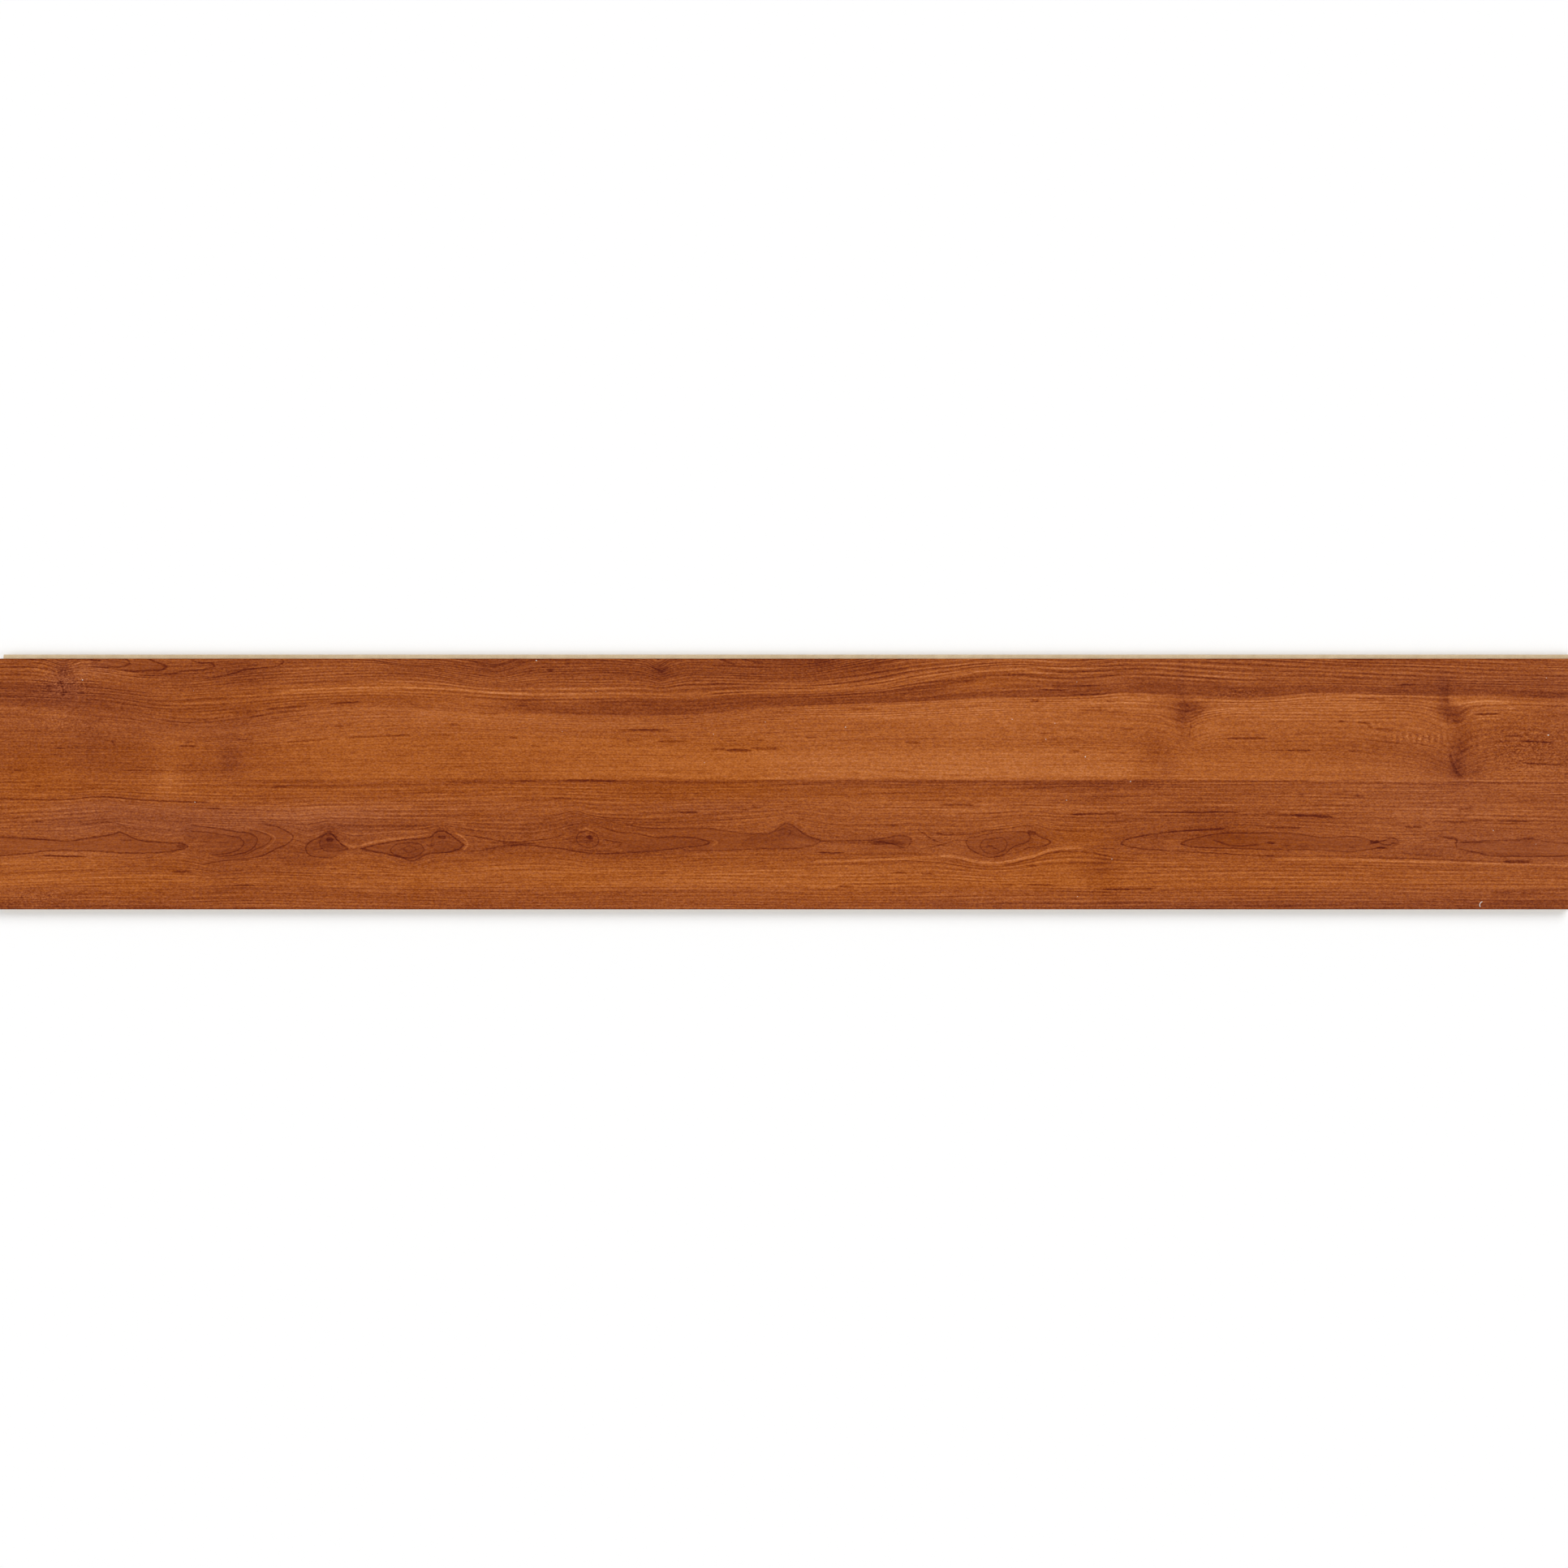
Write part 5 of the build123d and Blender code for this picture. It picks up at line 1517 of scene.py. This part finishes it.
def dust_tree(material):
    """Geometry Nodes that put a crumb on each loose point and a thin fibre along each chain of edges."""
    inputs = {
        "Geometry": (GEOMETRY,),
        "Crumb radius": (FLOAT, 0.4 * MM),
        "Fibre radius": (FLOAT, 0.3 * MM),
        "Seed": (INTEGER, 4),
    }
    tree, given, out = new_group("Dust", inputs, {"Geometry": GEOMETRY}, "GeometryNodeTree")
    shape = {"Radius": given["Crumb radius"], "Subdivisions": CRUMB_ROUNDNESS}
    ball = add(tree, "GeometryNodeMeshIcoSphere", shape)
    limits = {"Min": CRUMB_SIZES[0], "Max": CRUMB_SIZES[1], "Seed": given["Seed"]}
    size = add(tree, "FunctionNodeRandomValue", limits, data_type="FLOAT_VECTOR")
    has_size = add(tree, "GeometryNodeInputNamedAttribute", {"Name": "crumb"}, data_type="FLOAT")
    spread = {
        "Points": given["Geometry"],
        "Selection": has_size.math("GREATER_THAN", 0.0),
        "Instance": ball,
        "Scale": add(tree, "ShaderNodeVectorMath", {0: size, 1: has_size}, operation="MULTIPLY"),
    }
    crumbs = add(tree, "GeometryNodeInstanceOnPoints", spread)
    crumbs = add(tree, "GeometryNodeRealizeInstances", {"Geometry": crumbs})
    line = add(tree, "GeometryNodeMeshToCurve", {"Mesh": given["Geometry"]})
    shape = {"Resolution": FIBRE_SIDES, "Radius": given["Fibre radius"]}
    ring = add(tree, "GeometryNodeCurvePrimitiveCircle", shape)
    fibre = add(tree, "GeometryNodeCurveToMesh", {"Curve": line, "Profile Curve": ring, "Fill Caps": True})
    join = tree.nodes.new("GeometryNodeJoinGeometry")
    for part in (crumbs, fibre):
        tree.links.new(part.socket, join.inputs[0])
    smooth = add(tree, "GeometryNodeSetShadeSmooth", {"Geometry": Wire(tree, join.outputs[0])})
    done = add(tree, "GeometryNodeSetMaterial", {"Geometry": smooth, "Material": material})
    connect(tree, done, out.inputs["Geometry"])
    return tree


# Settings.

def colour_property(name, description, red, green, blue):
    """A colour that a user can change, given in 255ths as it looks on screen."""
    return bpy.props.FloatVectorProperty(
        name=name, description=description, subtype="COLOR_GAMMA", min=0, max=1,
        default=(red / 255, green / 255, blue / 255),
    )


def number_property(name, description, default, **kind):
    """A number that a user can change, with its unit or subtype where it has one."""
    return bpy.props.FloatProperty(name=name, description=description, default=default, **kind)


class PlankSettings(bpy.types.PropertyGroup):
    """Finish of the plank's own surface."""

    darkest_line: colour_property("Darkest lines", "Print in the hearts of knots", 86, 30, 8)
    dark_line: colour_property("Dark lines", "Print in outlines and flecks", 110, 47, 17)
    heartwood: colour_property("Heartwood", "Print in the dark bands", 134, 65, 29)
    wood: colour_property("Wood", "Print in common wood", 156, 83, 41)
    pale_wood: colour_property("Pale wood", "Print in the clear wood", 178, 102, 53)
    palest_line: colour_property("Palest lines", "Print in the palest lines", 213, 138, 89)
    board_dark: colour_property("Board, dark", "Darker fibres of the raw board", 190, 164, 128)
    board_pale: colour_property("Board, pale", "Paler fibres of the raw board", 226, 206, 174)
    layer_edge: colour_property("Wear layer edge", "Cut edge of the printed layer", 74, 46, 28)
    backing_dark: colour_property("Backing, dark", "Darker clouds of the backing paper", 176, 158, 130)
    backing_pale: colour_property("Backing, pale", "Paler clouds of the backing paper", 210, 194, 166)
    columns: bpy.props.IntProperty(
        name="Columns", description="Cells of the face along the plank, an even number", default=500, min=2
    )
    rows: bpy.props.IntProperty(
        name="Rows", description="Cells of the face across the plank", default=176, min=2
    )
    relief: number_property("Relief", "Depth of the pressed pores in the mesh", RELIEF, unit="LENGTH")
    press_depth: number_property(
        "Press depth", "Depth of the fine pressed texture", 0.02 * MM, unit="LENGTH"
    )
    roughness: number_property("Roughness", "Roughness of the satin wear layer", 0.42, subtype="FACTOR")
    gloss: number_property(
        "Gloss", "How much the wear layer mirrors, 0.5 for plain lacquer", 0.15, subtype="FACTOR"
    )
    slow_lines: number_property("Slow streaks", "Strength of the widest streaks, in 255ths", 2.0)
    speckle: number_property("Speckle", "Strength of the printed speckle, in 255ths", 10.5)
    pore_darkness: number_property("Pore darkness", "How much darker the printed pores are, in 255ths", 6.0)


class DustSettings(bpy.types.PropertyGroup):
    """Pale dust that lies on the face."""

    lit: colour_property("Dust, lit", "Pale side of the dust", 244, 240, 232)
    shaded: colour_property("Dust, shaded", "Darker side of the dust", 205, 198, 190)
    crumb_radius: number_property("Crumb radius", "Radius of a common crumb", 0.42 * MM, unit="LENGTH")
    fibre_radius: number_property("Fibre radius", "Radius of the loose fibre", 0.3 * MM, unit="LENGTH")
    seed: bpy.props.IntProperty(name="Seed", description="Seed of the crumbs' shapes", default=4)


class StageSettings(bpy.types.PropertyGroup):
    """Floor, light and camera around the plank."""

    floor_side: number_property("Floor side", "Length of the floor's sides", 36.0, unit="LENGTH")
    sky: number_property("Sky", "Strength of the even light from all round", 0.4)
    lens: number_property("Lens", "Focal length of the camera in millimetres", 100.0)
    view_width: number_property(
        "View width", "Width that the camera shows at the face", VIEW_WIDTH, unit="LENGTH"
    )


# Operators.

class PLANK_OT_dress(bpy.types.Operator):
    """Gives the plank its printed face, raw milled sides and backing paper"""

    bl_idname = "plank.dress"
    bl_label = "Dress plank"

    def execute(self, context):
        settings = context.scene.plank_settings
        bm, rim = plank_bmesh(settings)
        unfold(bm, rim)
        mesh = bpy.data.meshes.new("plank_board")
        bm.to_mesh(mesh)
        bm.free()
        mesh.attributes.remove(mesh.attributes[IMPORTED_NORMALS])
        print_plank(mesh)
        for build in (printed_face_material, raw_board_material, backing_material):
            mesh.materials.append(build(settings))
        plank = link_new("plank_board", mesh)
        add_nodes_modifier(plank, pressed_grain_tree(), {"Depth": settings.relief})
        finished(plank)
        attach(plank, "root")
        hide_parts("plank")
        return {"FINISHED"}


class PLANK_OT_dust(bpy.types.Operator):
    """Lays the pale crumbs and the loose fibre on the face"""

    bl_idname = "plank.dust"
    bl_label = "Lay dust"

    def execute(self, context):
        settings = context.scene.dust_settings
        points = [(x, y) for x, y, size in CRUMBS] + list(FIBRE)
        sizes = [size for x, y, size in CRUMBS] + [0.0] * len(FIBRE)
        first = len(CRUMBS)
        edges = [(n, n + 1) for n in range(first, first + len(FIBRE) - 1)]
        mesh = bpy.data.meshes.new("dust")
        mesh.from_pydata([on_face(x, y) for x, y in points], edges, [])
        field = mesh.attributes.new("crumb", "FLOAT", "POINT")
        field.data.foreach_set("value", sizes)
        dust = link_new("dust", mesh)
        tree = dust_tree(dust_material(settings))
        values = {
            "Crumb radius": settings.crumb_radius,
            "Fibre radius": settings.fibre_radius,
            "Seed": settings.seed,
        }
        add_nodes_modifier(dust, tree, values)
        finished(dust)
        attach(dust, "root")
        return {"FINISHED"}


def floor_material():
    """Plain pale floor that looks white where no shadow falls on it."""
    material, tree, shader = new_material("floor", FLOOR_ROUGHNESS, FLOOR_IOR)
    shader.inputs["Base Color"].default_value = (FLOOR_SHADE, FLOOR_SHADE, FLOOR_SHADE, 1.0)
    shader.inputs["Specular IOR Level"].default_value = 0.0
    rays = tree.nodes.new("ShaderNodeLightPath").outputs
    direct = Wire(tree, rays["Is Camera Ray"])
    for kind in ("Is Glossy Ray", "Is Transmission Ray"):
        direct = direct.math("MAXIMUM", Wire(tree, rays[kind]))
    shader.inputs["Emission Color"].default_value = WHITE
    connect(tree, direct * FLOOR_GLOW, shader.inputs["Emission Strength"])
    return material


class PLANK_OT_stage(bpy.types.Operator):
    """Makes the floor, the soft studio light and the camera that looks down on the plank"""

    bl_idname = "plank.stage"
    bl_label = "Make stage"

    def execute(self, context):
        settings = context.scene.stage_settings
        half = settings.floor_side / 2
        mesh = bpy.data.meshes.new("floor")
        corners = [(-half, -half, 0), (half, -half, 0), (half, half, 0), (-half, half, 0)]
        mesh.from_pydata(corners, [], [(0, 1, 2, 3)])
        mesh.materials.append(floor_material())
        link_new("floor", mesh)

        world = bpy.data.worlds.new("sky")
        world.use_nodes = True
        sky = world.node_tree.nodes["Background"]
        sky.inputs["Color"].default_value = WHITE
        seen = add(world.node_tree, "ShaderNodeLightPath", output="Is Camera Ray")
        connect(world.node_tree, seen * (1.0 - settings.sky) + settings.sky, sky.inputs["Strength"])
        context.scene.world = world

        for name, turn, tilt, strength, spread in SUNS:
            light = bpy.data.lights.new(name, "SUN")
            light.energy = strength
            light.angle = radians(spread)
            sun = link_new(name, light)
            sun.rotation_euler = (0, radians(tilt), radians(turn))

        camera = bpy.data.cameras.new("camera")
        camera.lens = settings.lens
        camera.clip_end = FAR_CLIP
        away = settings.view_width * settings.lens / camera.sensor_width
        viewer = link_new("camera", camera)
        viewer.location = (0, 0, FACE_HEIGHT + away)
        context.scene.camera = viewer
        context.scene.view_settings.view_transform = "Standard"
        return {"FINISHED"}


class PLANK_PT_panel(bpy.types.Panel):
    """Pieces of the plank and their settings"""

    bl_idname = "PLANK_PT_panel"
    bl_label = "Laminate floor plank"
    bl_space_type = "VIEW_3D"
    bl_region_type = "UI"
    bl_category = "Plank"

    def draw(self, context):
        for operator, group in STEPS:
            box = self.layout.box()
            box.operator(operator)
            settings = getattr(context.scene, group)
            for name in settings.__annotations__:
                box.prop(settings, name)


# Each step's operator and the settings that it uses.
STEPS = (
    ("plank.dress", "plank_settings"),
    ("plank.dust", "dust_settings"),
    ("plank.stage", "stage_settings"),
)
SETTINGS = {"plank_settings": PlankSettings, "dust_settings": DustSettings, "stage_settings": StageSettings}
CLASSES = (*SETTINGS.values(), PLANK_OT_dress, PLANK_OT_dust, PLANK_OT_stage, PLANK_PT_panel)


def register():
    for item in CLASSES:
        bpy.utils.register_class(item)
    for name, group in SETTINGS.items():
        setattr(bpy.types.Scene, name, bpy.props.PointerProperty(type=group))


def unregister():
    for name in SETTINGS:
        delattr(bpy.types.Scene, name)
    for item in reversed(CLASSES):
        bpy.utils.unregister_class(item)


def main():
    register()
    bpy.ops.plank.dress()
    bpy.ops.plank.dust()
    bpy.ops.plank.stage()


if __name__ == "__main__":
    main()
